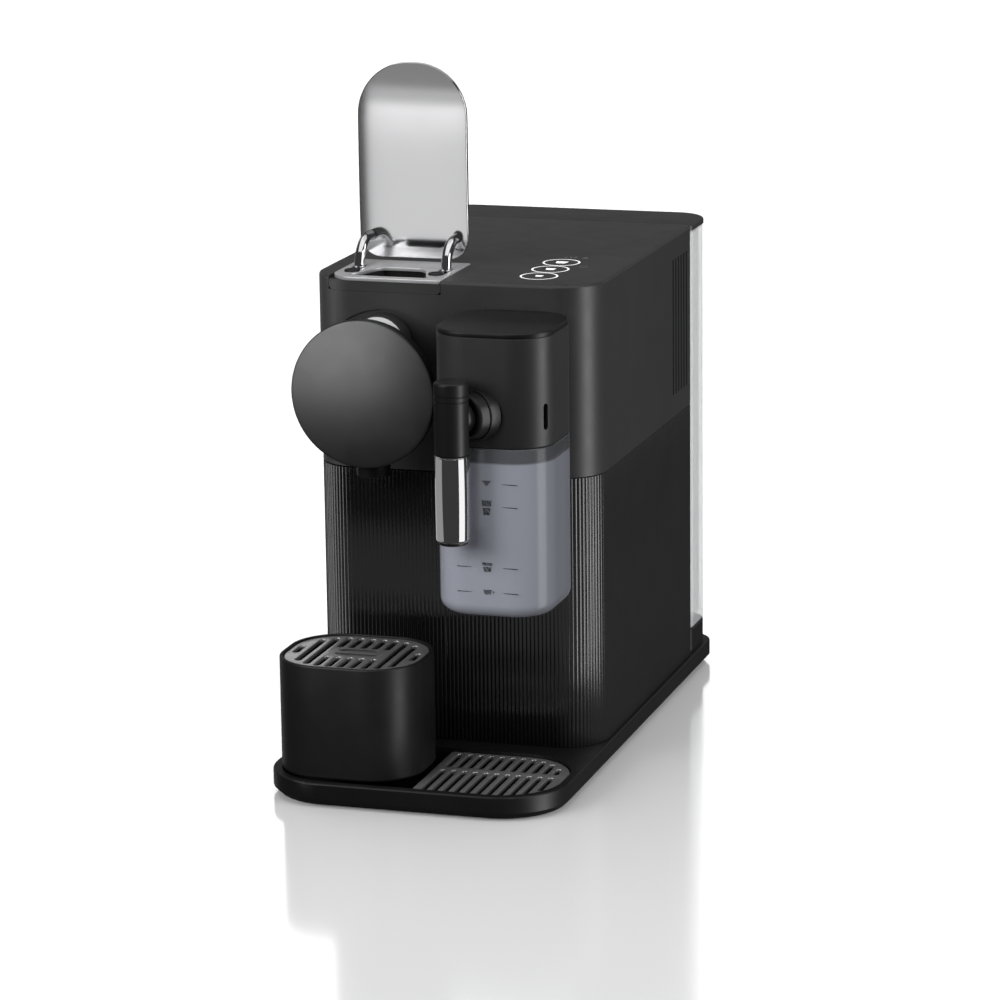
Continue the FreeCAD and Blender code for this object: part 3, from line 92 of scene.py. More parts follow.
def add_node(made, kind, **inputs):
    node = made.node_tree.nodes.new(kind)
    for socket, value in inputs.items():
        node.inputs[socket.replace("_", " ")].default_value = value
    return node


def drive(made, output, socket):
    """Let a node's output set one of the shader's inputs."""
    made.node_tree.links.new(output, made.node_tree.nodes["Principled BSDF"].inputs[socket])


def place_coords(made, stretch=EVEN):
    """Coordinates fixed to the piece, stretched along its axes."""
    coords = add_node(made, "ShaderNodeTexCoord")
    mapping = add_node(made, "ShaderNodeMapping")
    mapping.inputs["Scale"].default_value = stretch
    made.node_tree.links.new(coords.outputs["Object"], mapping.inputs["Vector"])
    return mapping.outputs["Vector"]


def noise_factor(made, scale, stretch, detail):
    noise = add_node(made, "ShaderNodeTexNoise", Scale=scale, Detail=detail)
    made.node_tree.links.new(place_coords(made, stretch), noise.inputs["Vector"])
    return noise.outputs["Fac"]


def vary(made, low, high, scale, stretch=EVEN):
    """Drive the roughness by noise between two values."""
    ranged = add_node(made, "ShaderNodeMapRange", From_Min=NOISE_LOW, From_Max=NOISE_HIGH,
                      To_Min=low, To_Max=high)
    made.node_tree.links.new(noise_factor(made, scale, stretch, 3.0), ranged.inputs["Value"])
    drive(made, ranged.outputs["Result"], "Roughness")


def blend_colors(made, factor, color_a, color_b, start, end):
    """Let the base colour go from one tone to another as a factor goes from start to end."""
    ramp = add_node(made, "ShaderNodeValToRGB")
    first, last = ramp.color_ramp.elements
    first.color, last.color = (*color_a, 1.0), (*color_b, 1.0)
    first.position, last.position = start, end
    made.node_tree.links.new(factor, ramp.inputs["Fac"])
    drive(made, ramp.outputs["Color"], "Base Color")


def tint(made, color_a, color_b, scale):
    """Let the colour drift between two near tones."""
    blend_colors(made, noise_factor(made, scale, EVEN, 4.0), color_a, color_b, NOISE_LOW, NOISE_HIGH)


def shade_above(made, below, above, start, end):
    """Change the colour over a short step in height."""
    split = add_node(made, "ShaderNodeSeparateXYZ")
    made.node_tree.links.new(place_coords(made), split.inputs["Vector"])
    step = add_node(made, "ShaderNodeMapRange", From_Min=start, From_Max=end)
    made.node_tree.links.new(split.outputs["Z"], step.inputs["Value"])
    blend_colors(made, step.outputs["Result"], below, above, 0.0, 1.0)


def roughen(made, strength, scale, distance=0.0001, stretch=EVEN):
    """Fine surface relief, such as spark-eroded plastic or brushed metal."""
    bump = add_node(made, "ShaderNodeBump", Strength=strength, Distance=distance)
    made.node_tree.links.new(noise_factor(made, scale, stretch, 2.0), bump.inputs["Height"])
    drive(made, bump.outputs["Normal"], "Normal")


def make_materials():
    made = new_material("matt_black", (0.031, 0.031, 0.032), 0.42, Specular_IOR_Level=0.5)
    tint(made, (0.029, 0.029, 0.0295), (0.033, 0.033, 0.0335), 9.0)
    vary(made, 0.4, 0.46, 60.0)
    roughen(made, 0.35, 2600.0, 0.00004)

    made = new_material("disc_black", (0.0055, 0.0055, 0.006), 0.3, Specular_IOR_Level=0.5)
    tint(made, (0.005, 0.005, 0.0053), (0.006, 0.006, 0.0065), 14.0)
    vary(made, 0.28, 0.33, 80.0)
    roughen(made, 0.3, 3000.0, 0.00003)

    made = new_material("gloss_black", (0.0075, 0.0075, 0.008), 0.2, Specular_IOR_Level=0.6)
    vary(made, 0.17, 0.25, 40.0)

    made = new_material("satin_black", (0.010, 0.010, 0.0105), 0.4, Specular_IOR_Level=0.35)
    tint(made, (0.0095, 0.0095, 0.01), (0.012, 0.012, 0.0125), 12.0)
    vary(made, 0.37, 0.44, 70.0)
    roughen(made, 0.2, 2400.0, 0.00003)

    made = new_material("chrome", (0.80, 0.80, 0.81), 0.05, 1.0)
    vary(made, 0.03, 0.08, 90.0)

    made = new_material("lever_steel", (0.74, 0.74, 0.75), 0.12, 1.0)
    vary(made, 0.1, 0.14, 30.0, (1, 1, 0.1))
    roughen(made, 0.08, 700.0, 0.00002, (1, 1, 0.02))

    made = new_material("steel", (0.50, 0.50, 0.51), 0.3, 1.0)
    vary(made, 0.24, 0.38, 500.0, (0.04, 1, 1))
    roughen(made, 0.15, 1800.0, 0.00002, (0.03, 1, 1))

    made = new_material("plate_steel", (0.55, 0.55, 0.56), 0.36, 0.5)
    vary(made, 0.3, 0.42, 900.0, (1, 0.05, 1))
    roughen(made, 0.12, 2000.0, 0.00002, (1, 0.03, 1))

    made = new_material("rack_steel", (0.36, 0.36, 0.365), 0.34, 0.75)
    vary(made, 0.28, 0.4, 500.0, (0.04, 1, 1))

    # near-white stand-in for the chrome collar: a painted reflection of a bright lamp, not the collar's
    # own colour
    made = new_material("bright_ring", (0.93, 0.93, 0.93), 0.25, 0.2)
    vary(made, 0.2, 0.3, 60.0)

    made = new_material("jar_plastic", (0.52, 0.54, 0.62), 0.25, Alpha=0.66,
                        Coat_Weight=0.4, Coat_Roughness=0.1, IOR=1.49)
    vary(made, 0.18, 0.28, 25.0)
    shade_above(made, (0.52, 0.54, 0.62), (0.16, 0.165, 0.18), 0.1725, 0.1735)

    made = new_material("tank_plastic", (0.93, 0.94, 0.95), 0.08, IOR=1.5, Alpha=0.42)
    vary(made, 0.05, 0.12, 30.0)

    made = new_material("print_dark", (0.035, 0.037, 0.045), 0.5)
    tint(made, (0.03, 0.032, 0.04), (0.045, 0.047, 0.055), 300.0)

    made = new_material("ring_light", (0.85, 0.85, 0.86), 0.4, Emission_Strength=0.75,
                        Emission_Color=(1.0, 1.0, 1.0, 1.0))
    vary(made, 0.35, 0.5, 200.0)

    made = new_material("icon_grey", (0.16, 0.16, 0.165), 0.5)
    vary(made, 0.45, 0.6, 200.0)

    # near-black: the inner parts' own dark colour pushed darker, painted shade in the capsule hole and
    # behind the jug's slot
    made = new_material("void_black", (0.003, 0.003, 0.003), 0.7)
    vary(made, 0.6, 0.8, 90.0)

    made = new_material("inner_plastic", (0.035, 0.035, 0.037), 0.45)
    tint(made, (0.03, 0.03, 0.032), (0.042, 0.042, 0.044), 20.0)
    roughen(made, 0.3, 1500.0, 0.00005)

    made = new_material("rubber", (0.02, 0.02, 0.02), 0.75)
    tint(made, (0.017, 0.017, 0.017), (0.026, 0.026, 0.026), 60.0)
    roughen(made, 0.5, 1600.0, 0.00008)

    made = new_material("hose", (0.62, 0.62, 0.58), 0.4, Subsurface_Weight=0.2)
    tint(made, (0.58, 0.58, 0.54), (0.66, 0.66, 0.62), 50.0)

    made = new_material("heater_block", (0.55, 0.55, 0.56), 0.5, 1.0)
    vary(made, 0.4, 0.65, 200.0)
    roughen(made, 0.5, 700.0, 0.0002)

    made = new_material("pump_body", (0.14, 0.14, 0.15), 0.5)
    tint(made, (0.12, 0.12, 0.13), (0.16, 0.16, 0.17), 30.0)
    roughen(made, 0.3, 900.0, 0.0001)

    made = new_material("board", (0.02, 0.09, 0.04), 0.4, Coat_Weight=0.4)
    tint(made, (0.015, 0.08, 0.035), (0.03, 0.11, 0.05), 250.0)


def dress(piece, material):
    piece.data.materials.clear()
    piece.data.materials.append(MATERIALS[material])
    return piece


# ---------------- mesh helpers

def add_object(name, data):
    made = bpy.data.objects.new(name, data)
    bpy.context.scene.collection.objects.link(made)
    return made


def mesh_object(name, vertices, faces, sharp=35.0):
    mesh = bpy.data.meshes.new(name)
    mesh.from_pydata([tuple(v) for v in vertices], [], faces)
    mesh.validate()
    tidy = bmesh.new()
    tidy.from_mesh(mesh)
    bmesh.ops.remove_doubles(tidy, verts=tidy.verts, dist=1e-7)
    bmesh.ops.recalc_face_normals(tidy, faces=tidy.faces)
    tidy.to_mesh(mesh)
    tidy.free()
    shade(mesh, sharp)
    return add_object(name, mesh)


def shade(mesh, sharp=35.0):
    """Smooth shading that keeps the edges sharper than an angle in degrees."""
    for face in mesh.polygons:
        face.use_smooth = True
    mesh.set_sharp_from_angle(angle=math.radians(sharp))


def arc_points(centre, radius, start, end, steps):
    """Points of an arc, in degrees, both ends included."""
    points = []
    for i in range(steps + 1):
        angle = math.radians(start + (end - start) * i / steps)
        points.append(Vector((centre[0] + radius * math.cos(angle), centre[1] + radius * math.sin(angle))))
    return points


def rounded_outline(left, right, front, back, radii, steps=20):
    """A rounded rectangle, anticlockwise; radii are front left, front right, back right, back left."""
    radii = radii if isinstance(radii, tuple) else (radii,) * 4
    corners = ((left, front, 1, 1, 180), (right, front, -1, 1, 270),
               (right, back, -1, -1, 0), (left, back, 1, -1, 90))
    points = []
    for radius, (across, along, step_x, step_y, angle) in zip(radii, corners):
        centre = (across + step_x * radius, along + step_y * radius)
        points += arc_points(centre, radius, angle, angle + 90, steps)
    return points


def normals_of(points, closed=True):
    """Unit normals to the left of the path, which is inwards for an anticlockwise outline."""
    count = len(points)
    result = []
    for i in range(count):
        before = points[(i - 1) % count] if closed or i else points[0]
        after = points[(i + 1) % count] if closed or i < count - 1 else points[-1]
        along = (after - before).normalized()
        result.append(Vector((-along.y, along.x)))
    return result


def ring_faces(levels, count, closed=True):
    """The four-sided faces between rings of points, each ring above the one before."""
    faces = []
    for level in range(levels - 1):
        here, above = level * count, (level + 1) * count
        for i in range(count if closed else count - 1):
            j = (i + 1) % count
            faces.append((here + i, here + j, above + j, above + i))
    return faces


def stack(name, outline, profile, closed=True, cap_low=True, cap_high=True, sharp=35.0):
    """Rings of an outline set inwards by each profile step's inset, at its height, and joined."""
    normals = normals_of(outline, closed)
    count = len(outline)
    vertices = [(*(p + n * inset), height) for inset, height in profile
                for p, n in zip(outline, normals)]
    faces = ring_faces(len(profile), count, closed)
    if cap_low:
        faces.append(tuple(reversed(range(count))))
    if cap_high:
        faces.append(tuple(range((len(profile) - 1) * count, len(profile) * count)))
    return mesh_object(name, vertices, faces, sharp)


def fillet_out(radius, height, rising, steps=5):
    """Profile steps of a rounded edge: rising from a flat underside, or turning in to a flat top."""
    steps_in = []
    for i in range(steps + 1):
        angle = math.pi / 2 * i / steps
        if rising:
            steps_in.append((radius * (1 - math.sin(angle)), height + radius * (1 - math.cos(angle))))
        else:
            steps_in.append((radius * (1 - math.cos(angle)), height - radius * (1 - math.sin(angle))))
    return steps_in


def lathe(name, profile, segments=96, matrix=None, sharp=35.0):
    """Turn (radius, height) steps about Z; a first or last radius of 0 closes that end."""
    vertices, faces, rings = [], [], []
    for radius, height in profile:
        if radius == 0:
            rings.append([len(vertices)])
            vertices.append(Vector((0, 0, height)))
            continue
        rings.append([len(vertices) + i for i in range(segments)])
        vertices += [Vector((radius * math.cos(TURN * i / segments),
                             radius * math.sin(TURN * i / segments), height)) for i in range(segments)]
    for low, high in zip(rings, rings[1:]):
        for i in range(segments):
            j = (i + 1) % segments
            if len(low) == 1:
                faces.append((low[0], high[j], high[i]))
            elif len(high) == 1:
                faces.append((low[i], low[j], high[0]))
            else:
                faces.append((low[i], low[j], high[j], high[i]))
    matrix = matrix or Matrix.Identity(4)
    return mesh_object(name, [matrix @ v for v in vertices], faces, sharp)


def turned_along(origin, direction):
    """A matrix that sets a lathed piece's Z on a direction from an origin."""
    return Matrix.Translation(origin) @ Vector(direction).to_track_quat("Z", "Y").to_matrix().to_4x4()


def tube(name, points, radius, segments=32):
    """A round rod along a smooth list of points that stay in a plane of constant x."""
    vertices = []
    side = Vector((1, 0, 0))
    count = len(points)
    for i, point in enumerate(points):
        before, after = points[max(i - 1, 0)], points[min(i + 1, count - 1)]
        up = (after - before).normalized().cross(side).normalized()
        for k in range(segments):
            angle = TURN * k / segments
            vertices.append(point + (side * math.cos(angle) + up * math.sin(angle)) * radius)
    faces = ring_faces(count, segments)
    faces.append(tuple(range(segments)))
    faces.append(tuple(range((count - 1) * segments, count * segments)))
    return mesh_object(name, vertices, faces)


def flat_plate(name, outlines, low, high, bevel, matrix=None, sharp=35.0):
    """A plate with a rounded edge: the first outline is its border, the rest are its holes."""
    curve = bpy.data.curves.new(name, "CURVE")
    curve.dimensions = "2D"
    curve.fill_mode = "BOTH"
    curve.extrude = (high - low) / 2 - bevel
    curve.bevel_depth = bevel
    curve.bevel_resolution = 2
    curve.offset = -bevel
    for index, outline in enumerate(outlines):
        points = outline if index == 0 else list(reversed(outline))
        spline = curve.splines.new("POLY")
        spline.points.add(len(points) - 1)
        for target, point in zip(spline.points, points):
            target.co = (point[0], point[1], 0, 1)
        spline.use_cyclic_u = True
    holder = add_object(name, curve)
    bpy.context.view_layer.update()
    mesh = bpy.data.meshes.new_from_object(holder.evaluated_get(bpy.context.evaluated_depsgraph_get()))
    bpy.data.objects.remove(holder)
    matrix = matrix or Matrix.Identity(4)
    lift = Matrix.Translation((0, 0, (low + high) / 2))
    vertices = [matrix @ lift @ v.co for v in mesh.vertices]
    faces = [tuple(f.vertices) for f in mesh.polygons]
    bpy.data.meshes.remove(mesh)
    return mesh_object(name, vertices, faces, sharp)


def carve(piece, cutter, sharp=35.0):
    """Cut one mesh object out of another, and drop the cutter."""
    modifier = piece.modifiers.new("carve", "BOOLEAN")
    modifier.operation = "DIFFERENCE"
    modifier.solver = "EXACT"
    modifier.object = cutter
    bpy.context.view_layer.update()
    shaped = piece.evaluated_get(bpy.context.evaluated_depsgraph_get())
    mesh = bpy.data.meshes.new_from_object(shaped)
    piece.modifiers.clear()
    piece.data = mesh
    bpy.data.objects.remove(cutter)
    shade(mesh, sharp)
    return piece


def settle(piece, body, material, slot, *replaced):
    """Dress a finished piece, let it ride on its body and hide the CAD parts it replaces; the slot it
    stands for is not used.
    """
    dress(piece, material)
    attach(piece, body)
    if replaced:
        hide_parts(*replaced)
    return piece


# ---------------- ribbed housing

RIB_PITCH = 2.1 * MM
RIB_DEPTH = 0.26 * MM
BODY_RADIUS = 22.0 * MM
BODY_BACK_RADIUS = 5.0 * MM
WALL = 2.5 * MM


def resample(points, spacing):
    """Points at an even spacing along an open path."""
    lengths = [0.0]
    for a, b in zip(points, points[1:]):
        lengths.append(lengths[-1] + (b - a).length)
    count = max(2, round(lengths[-1] / spacing))
    result, index = [], 0
    for i in range(count + 1):
        target = lengths[-1] * i / count
        while index < len(points) - 2 and lengths[index + 1] < target:
            index += 1
        span = lengths[index + 1] - lengths[index]
        share = (target - lengths[index]) / span if span else 0.0
        result.append(points[index].lerp(points[index + 1], share))
    return result


def ribbed_wall(name, path, low, high):
    """A wall along an open path: round upright ribs outside, smooth inside, closed at both ends."""
    samples = 8
    points = resample(path, RIB_PITCH / samples)
    normals = normals_of(points, closed=False)
    edge = 0.25 * MM
    profile = ((edge, low, 1), (0, low + edge, 1), (0, high - edge, 1), (edge, high, 1),
               (WALL, high, 0), (WALL, low, 0))
    vertices = []
    for inset, height, ribbed in profile:
        for i, (point, normal) in enumerate(zip(points, normals)):
            phase = math.pi * (i % samples) / samples
            groove = RIB_DEPTH * (1 - math.sin(phase)) ** 1.4 * ribbed
            vertices.append((*(point + normal * (inset + groove)), height))
    count, levels = len(points), len(profile)
    faces = []
    for level in range(levels):
        after = (level + 1) % levels
        for i in range(count - 1):
            faces.append((level * count + i, level * count + i + 1, after * count + i + 1,
                          after * count + i))
    faces.append(tuple(level * count for level in range(levels)))
    faces.append(tuple(level * count + count - 1 for level in reversed(range(levels))))
    return mesh_object(name, vertices, faces, 50.0)


def make_lower_walls():
    low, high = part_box("lower_housing")
    drawer_low, drawer_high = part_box("drawer_front")
    outline = rounded_outline(low.x, high.x, low.y, high.y,
                              (BODY_RADIUS, BODY_RADIUS, BODY_BACK_RADIUS, BODY_BACK_RADIUS), 40)
    gap = 0.3 * MM
    start = Vector((drawer_high.x + gap, low.y))
    end = Vector((low.x, drawer_high.y + gap))
    front_right = [p for p in outline if p.x > start.x and p.y < 0 or p.x > 0]
    back_left = [p for p in outline if p.x <= 0 and p.y > 0]
    shell = ribbed_wall("lower_shell", [start] + front_right + back_left + [end], low.z, high.z)
    settle(shell, "machine", "gloss_black", "gloss_black", "lower_housing")

    corner = (low.x + BODY_RADIUS, low.y + BODY_RADIUS)
    path = [Vector((low.x, drawer_high.y))] + arc_points(corner, BODY_RADIUS, 180, 270, 40)
    path.append(Vector((drawer_high.x, low.y)))
    front = ribbed_wall("drawer_panel", path, drawer_low.z, drawer_high.z)
    settle(front, "drawer", "gloss_black", "gloss_black", "drawer_front")


# ---------------- brewing head

def facing_front(low, high, back):
    """A matrix that turns a lathed piece to the front from a depth, on the middle of its box."""
    return turned_along(Vector(((low.x + high.x) / 2, back, (low.z + high.z) / 2)), (0, -1, 0))


def make_brew_head():
    low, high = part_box("front_disc")
    radius, depth = (high.x - low.x) / 2, high.y - low.y
    dome = 2.4 * MM
    flat = depth - dome
    profile = [(0, 0), (radius - 3 * MM, 0), (radius - 1.6 * MM, 0.15 * MM)]
    profile += [(radius - 1.2 * MM * (1 - math.sin(a)), 1.4 * MM - 1.2 * MM * math.cos(a))
                for a in (0.2, 0.6, 1.0, 1.3, 1.57)]
    lip = 0.7 * MM
    profile += [(radius, flat - lip)]
    profile += [(radius - lip * (1 - math.cos(a)), flat - lip + lip * math.sin(a))
                for a in (0.4, 0.8, 1.2, 1.57)]
    chord = radius - lip
    dome_radius = (chord ** 2 + dome ** 2) / (2 * dome)
    dome_steps = 24
    for step in range(1, dome_steps + 1):
        r = chord * (1 - step / dome_steps)
        height = flat + math.sqrt(dome_radius ** 2 - r ** 2) - (dome_radius - dome)
        profile.append((r, height))
    disc = lathe("round_disc", profile, 192, facing_front(low, high, high.y), 50.0)
    settle(disc, "machine", "disc_black", "matt_black", "front_disc")

    seen_back = 8.0 * MM
    low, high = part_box("chrome_collar")
    radius, length = (high.x - low.x) / 2, high.y - low.y + seen_back
    # the chrome collar gets a near-white colour: its bright reflection is painted in
    collar = lathe("bright_collar", [(0, 0), (radius - 0.4 * MM, 0), (radius, 0.4 * MM),
                                     (radius, length - 0.4 * MM), (radius - 0.4 * MM, length),
                                     (0, length)], 128, facing_front(low, high, high.y + seen_back))
    settle(collar, "machine", "bright_ring", "chrome", "chrome_collar")

    low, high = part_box("brew_neck")
    radius, length = (high.x - low.x) / 2, high.y - low.y - seen_back
    edge = 0.8 * MM
    neck = lathe("head_neck", [(0, 0), (radius, 0), (radius, length - edge),
                               (radius - 0.3 * edge, length - 0.3 * edge), (radius - edge, length),
                               (0, length)], 128, facing_front(low, high, high.y))
    settle(neck, "machine", "matt_black", "matt_black", "brew_neck")


# ---------------- capsule plate and lever

def capsule_outline(low, high):
    """A capsule on its side with its rim to the front, inside the plate's box."""
    centre = (low.x + high.x) / 2
    front = low.y + 6.3 * MM
    wide, narrow = 20.2 * MM, 15.6 * MM
    back_arc = arc_points((centre, front + 12.6 * MM), narrow, 12, 168, 22)
    flat_back = [Vector((p.x, min(p.y, front + 25.0 * MM))) for p in back_arc]
    rim = front + 4.0 * MM
    shoulder = [(wide, front), (wide, rim), (wide - 1.5 * MM, rim + 1.6 * MM),
                (narrow + 2.8 * MM, rim + 2 * MM)]
    right = [Vector((centre + across, along)) for across, along in shoulder]
    left = [Vector((centre - across, along)) for across, along in shoulder[:0:-1]]
    return [Vector((centre - wide, front))] + right + flat_back + left


def make_capsule_plate():
    low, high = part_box("capsule_plate")
    arms_low, arms_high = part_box("lever_arms")
    border = rounded_outline(low.x, high.x, low.y, high.y, (14 * MM, 2 * MM, 2 * MM, 2 * MM), 12)
    holes = [capsule_outline(low, high)]
    half, front, back = 3.2 * MM, -53.9 * MM, -38.2 * MM
    for centre in (arms_low.x + 2.7 * MM, arms_high.x - 2.7 * MM):
        holes.append(rounded_outline(centre - half, centre + half, front, back, 2.4 * MM, 8))
    plate = flat_plate("slot_plate", [border] + holes, low.z, high.z, 0.25 * MM)
    settle(plate, "machine", "plate_steel", "steel", "capsule_plate")

    low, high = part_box("lever_bumpers")
    radius = (high.y - low.y) / 2
    for index, centre in enumerate((low.x + radius, high.x - radius)):
        at = Matrix.Translation((centre, (low.y + high.y) / 2, low.z))
        rise = high.z - low.z
        profile = [(0, 0), (radius, 0), (radius, 0.3 * rise), (radius - 0.5 * MM, rise),
                   (radius * 0.62, rise), (radius * 0.5, 0.55 * rise), (0, 0.5 * rise)]
        pad = lathe(f"bumper_{index}", profile, 48, at)
        settle(pad, "machine", "satin_black", "satin_black", *(["lever_bumpers"] if index == 0 else []))


def bowed_plate(name, outline, sheet, bow, edge):
    """A sheet lying in X and Y whose face bulges up along Y; its outline narrows towards the edges."""
    low, high = min(p.y for p in outline), max(p.y for p in outline)
    middle, half = (low + high) / 2, (high - low) / 2
    normals = normals_of(outline)
    rings = [(0.0, 0.0)]
    rings += [(edge * (1 - math.cos(a)), -edge + edge * math.sin(a)) for a in (0.0, 0.5, 1.0, math.pi / 2)]
    vertices = []

    def face_height(y):
        return sheet + bow * (1 - ((y - middle) / half) ** 2)

    count = len(outline)
    for index, (inset, drop) in enumerate(rings):
        for p, n in zip(outline, normals):
            q = p + n * inset
            vertices.append((q.x, q.y, face_height(q.y) + drop if index else 0.0))
    faces = ring_faces(len(rings), count)
    faces.append(tuple(reversed(range(count))))
    inner = [p + n * edge for p, n in zip(outline, normals)]
    sheet_mesh = mesh_object(name, vertices, faces, 40.0)
    top = bowed_face(inner, face_height)
    return join([sheet_mesh, top], name, 40.0)


def bowed_face(inner, face_height):
    """The bulging face in level strips between an outline's two sides."""
    left = sorted((p for p in inner if p.x <= 0), key=lambda p: p.y)
    vertices, faces = [], []
    for p in left:
        vertices += [(p.x, p.y, face_height(p.y)), (-p.x, p.y, face_height(p.y))]
    for i in range(len(left) - 1):
        faces.append((2 * i, 2 * i + 1, 2 * i + 3, 2 * i + 2))
    return mesh_object("bowed_face", vertices, faces, 40.0)


def subdivided(outline, longest):
    """The outline with points added along its long straight runs."""
    points = []
    for start, end in zip(outline, outline[1:] + outline[:1]):
        parts = max(1, round((end - start).length / longest))
        points += [start + (end - start) * k / parts for k in range(parts)]
    return points


def make_lever():
    low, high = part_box("lever_plate")
    foot, top = 11 * MM, 27 * MM
    half = (high.x - low.x) / 2
    centre = (low.x + high.x) / 2
    sheet, bow, edge = 1.5 * MM, 0.9 * MM, 0.5 * MM
    outline = rounded_outline(-half, half, low.z, high.z, (foot, foot, top, top), 24)
    blade = bowed_plate("lever_blade", subdivided(outline, 2.0 * MM), sheet, bow, edge)
    turn = Matrix(((1, 0, 0, centre), (0, 0, -1, high.y), (0, 1, 0, 0), (0, 0, 0, 1)))
    blade.data.transform(turn)
    settle(blade, "lever", "lever_steel", "chrome", "lever_plate")

    low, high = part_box("lever_arms")
    shaft_low, shaft_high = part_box("lever_shaft")
    radius = 2.7 * MM
    pivot = Vector((0, (shaft_low.y + shaft_high.y) / 2, (shaft_low.z + shaft_high.z) / 2))
    front = low.y + radius
    bend, sweep = 4.0 * MM, 14.0 * MM
    eye_profile = in_mm((0, 0), (2.9, 0), (3.2, 0.3), (3.2, 4.5), (2.9, 4.8), (0, 4.8))
    for index, across in enumerate((low.x + radius, high.x - radius)):
        points = [(pivot.y - 1.0 * MM, pivot.z)]
        points += arc_points((front + bend, pivot.z + bend), bend, 270, 180, 12)
        points += arc_points((front + sweep, pivot.z + bend), sweep, 180, 90, 28)
        points += [(high.y, pivot.z + bend + sweep)]
        rod = tube(f"lever_rod_{index}", [Vector((across, y, z)) for y, z in points], radius, 40)
        eye_end = turned_along((across - 2.4 * MM, pivot.y, pivot.z), (1, 0, 0))
        eye = lathe(f"lever_eye_{index}", eye_profile, 48, eye_end)
        settle(eye, "lever", "chrome", "chrome")
        settle(rod, "lever", "chrome", "chrome", *(["lever_arms"] if index == 0 else []))


# ---------------- milk jug

JUG_RADIUS = 20.0 * MM


def jug_outline(inset=0.0):
    low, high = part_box("milk_jar")
    return rounded_outline(low.x + inset, high.x - inset, low.y + inset, high.y - inset,
                           JUG_RADIUS - inset, 24)


def swivel():
    """The spout's swivel joint: a point on it and its direction."""
    joint = next(j for j in frame["joints"] if j["name"] == "spout_swivel")
    return Vector(joint["pos_m"]), Vector(joint["axis"]).normalized()


def make_milk_head():
    low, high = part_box("head_shell")
    cap_low, cap_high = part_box("head_cap")
    wall = 2.4 * MM
    profile = fillet_out(0.7 * MM, low.z, True) + [(0, high.z - 0.3 * MM), (0.3 * MM, high.z)]
    profile += [(wall, high.z), (wall, low.z + 0.4 * MM), (wall - 0.4 * MM, low.z), (0.7 * MM, low.z)]
    casing = stack("head_casing", jug_outline(), profile, cap_low=False, cap_high=False)
    corner = rounded_outline(-1.5 * MM, 1.5 * MM, 189 * MM, 202 * MM, 1.45 * MM, 6)
    slot_azimuth = 63
    angle = math.radians(slot_azimuth)
    outward = Vector((math.sin(angle), -math.cos(angle), 0))
    box_low, box_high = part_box("milk_jar")
    centre = Vector((box_high.x - JUG_RADIUS, box_low.y + JUG_RADIUS, 0)) + outward * (JUG_RADIUS - 4 * MM)
    side = Vector((0, 0, 1)).cross(outward)
    turn = Matrix((side, Vector((0, 0, 1)), outward)).transposed().to_4x4()
    slot = flat_plate("slot_cutter", [corner], 0, 6 * MM, 0.01 * MM, Matrix.Translation(centre) @ turn)
    carve(casing, slot)
    settle(casing, "milk_head", "matt_black", "matt_black", "head_shell")
    # a near-black sheet just inside the casing, behind the slot: painted shade for the inside seen through
    # the slot
    foot, head, sheet = 186 * MM, 206 * MM, 0.6 * MM
    slot_shade_sheet = stack("head_liner", jug_outline(wall + 0.2 * MM),
                    [(0, foot), (0, head), (sheet, head), (sheet, foot), (0, foot)],
                    cap_low=False, cap_high=False)
    settle(slot_shade_sheet, "milk_head", "void_black", "matt_black")

    top = cap_high.z
    profile = [(0.45 * MM, cap_low.z), (0.45 * MM, cap_low.z + 0.5 * MM), (0, cap_low.z + 0.6 * MM)]
    profile += fillet_out(1.1 * MM, top, False)
    cap = stack("jug_cap", jug_outline(), profile)
    settle(cap, "milk_head", "satin_black", "matt_black", "head_cap")

    pivot, axis = swivel()
    at = turned_along(pivot, axis)
    profile = in_mm((0, -4), (12.4, -4), (12.4, 1.2), (12.1, 1.9), (11.4, 2.1), (11.2, 2.6), (11.0, 6.4),
                    (10.6, 7.4), (9.9, 8.0), (7.9, 8.0), (7.6, 7.2), (0, 7.2))
    boss = lathe("spout_boss", profile, 96, at)
    settle(boss, "milk_head", "satin_black", "matt_black")


def make_jar():
    low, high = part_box("milk_jar")
    wall, floor = 2.1 * MM, 2.6 * MM
    profile = fillet_out(7.0 * MM, low.z, True, 10) + [(0, high.z - 0.4 * MM), (0.4 * MM, high.z)]
    profile += [(wall - 0.3 * MM, high.z), (wall, high.z - 0.4 * MM)]
    inner = [(wall + a, h + floor) for a, h in fillet_out(5.0 * MM, low.z, True, 10)]
    profile += list(reversed(inner))
    jar = stack("jar_cup", jug_outline(), profile)
    settle(jar, "jar", "jar_plastic", "jar_plastic", "milk_jar")
    make_jar_marks(low)


def tumbler(centre, height, top, bottom):
    """Outline of a straight glass or cup, wider at its rim."""
    x, z = centre
    return [Vector((x - bottom / 2, z - height / 2)), Vector((x + bottom / 2, z - height / 2)),
            Vector((x + top / 2, z + height / 2)), Vector((x - top / 2, z + height / 2))]


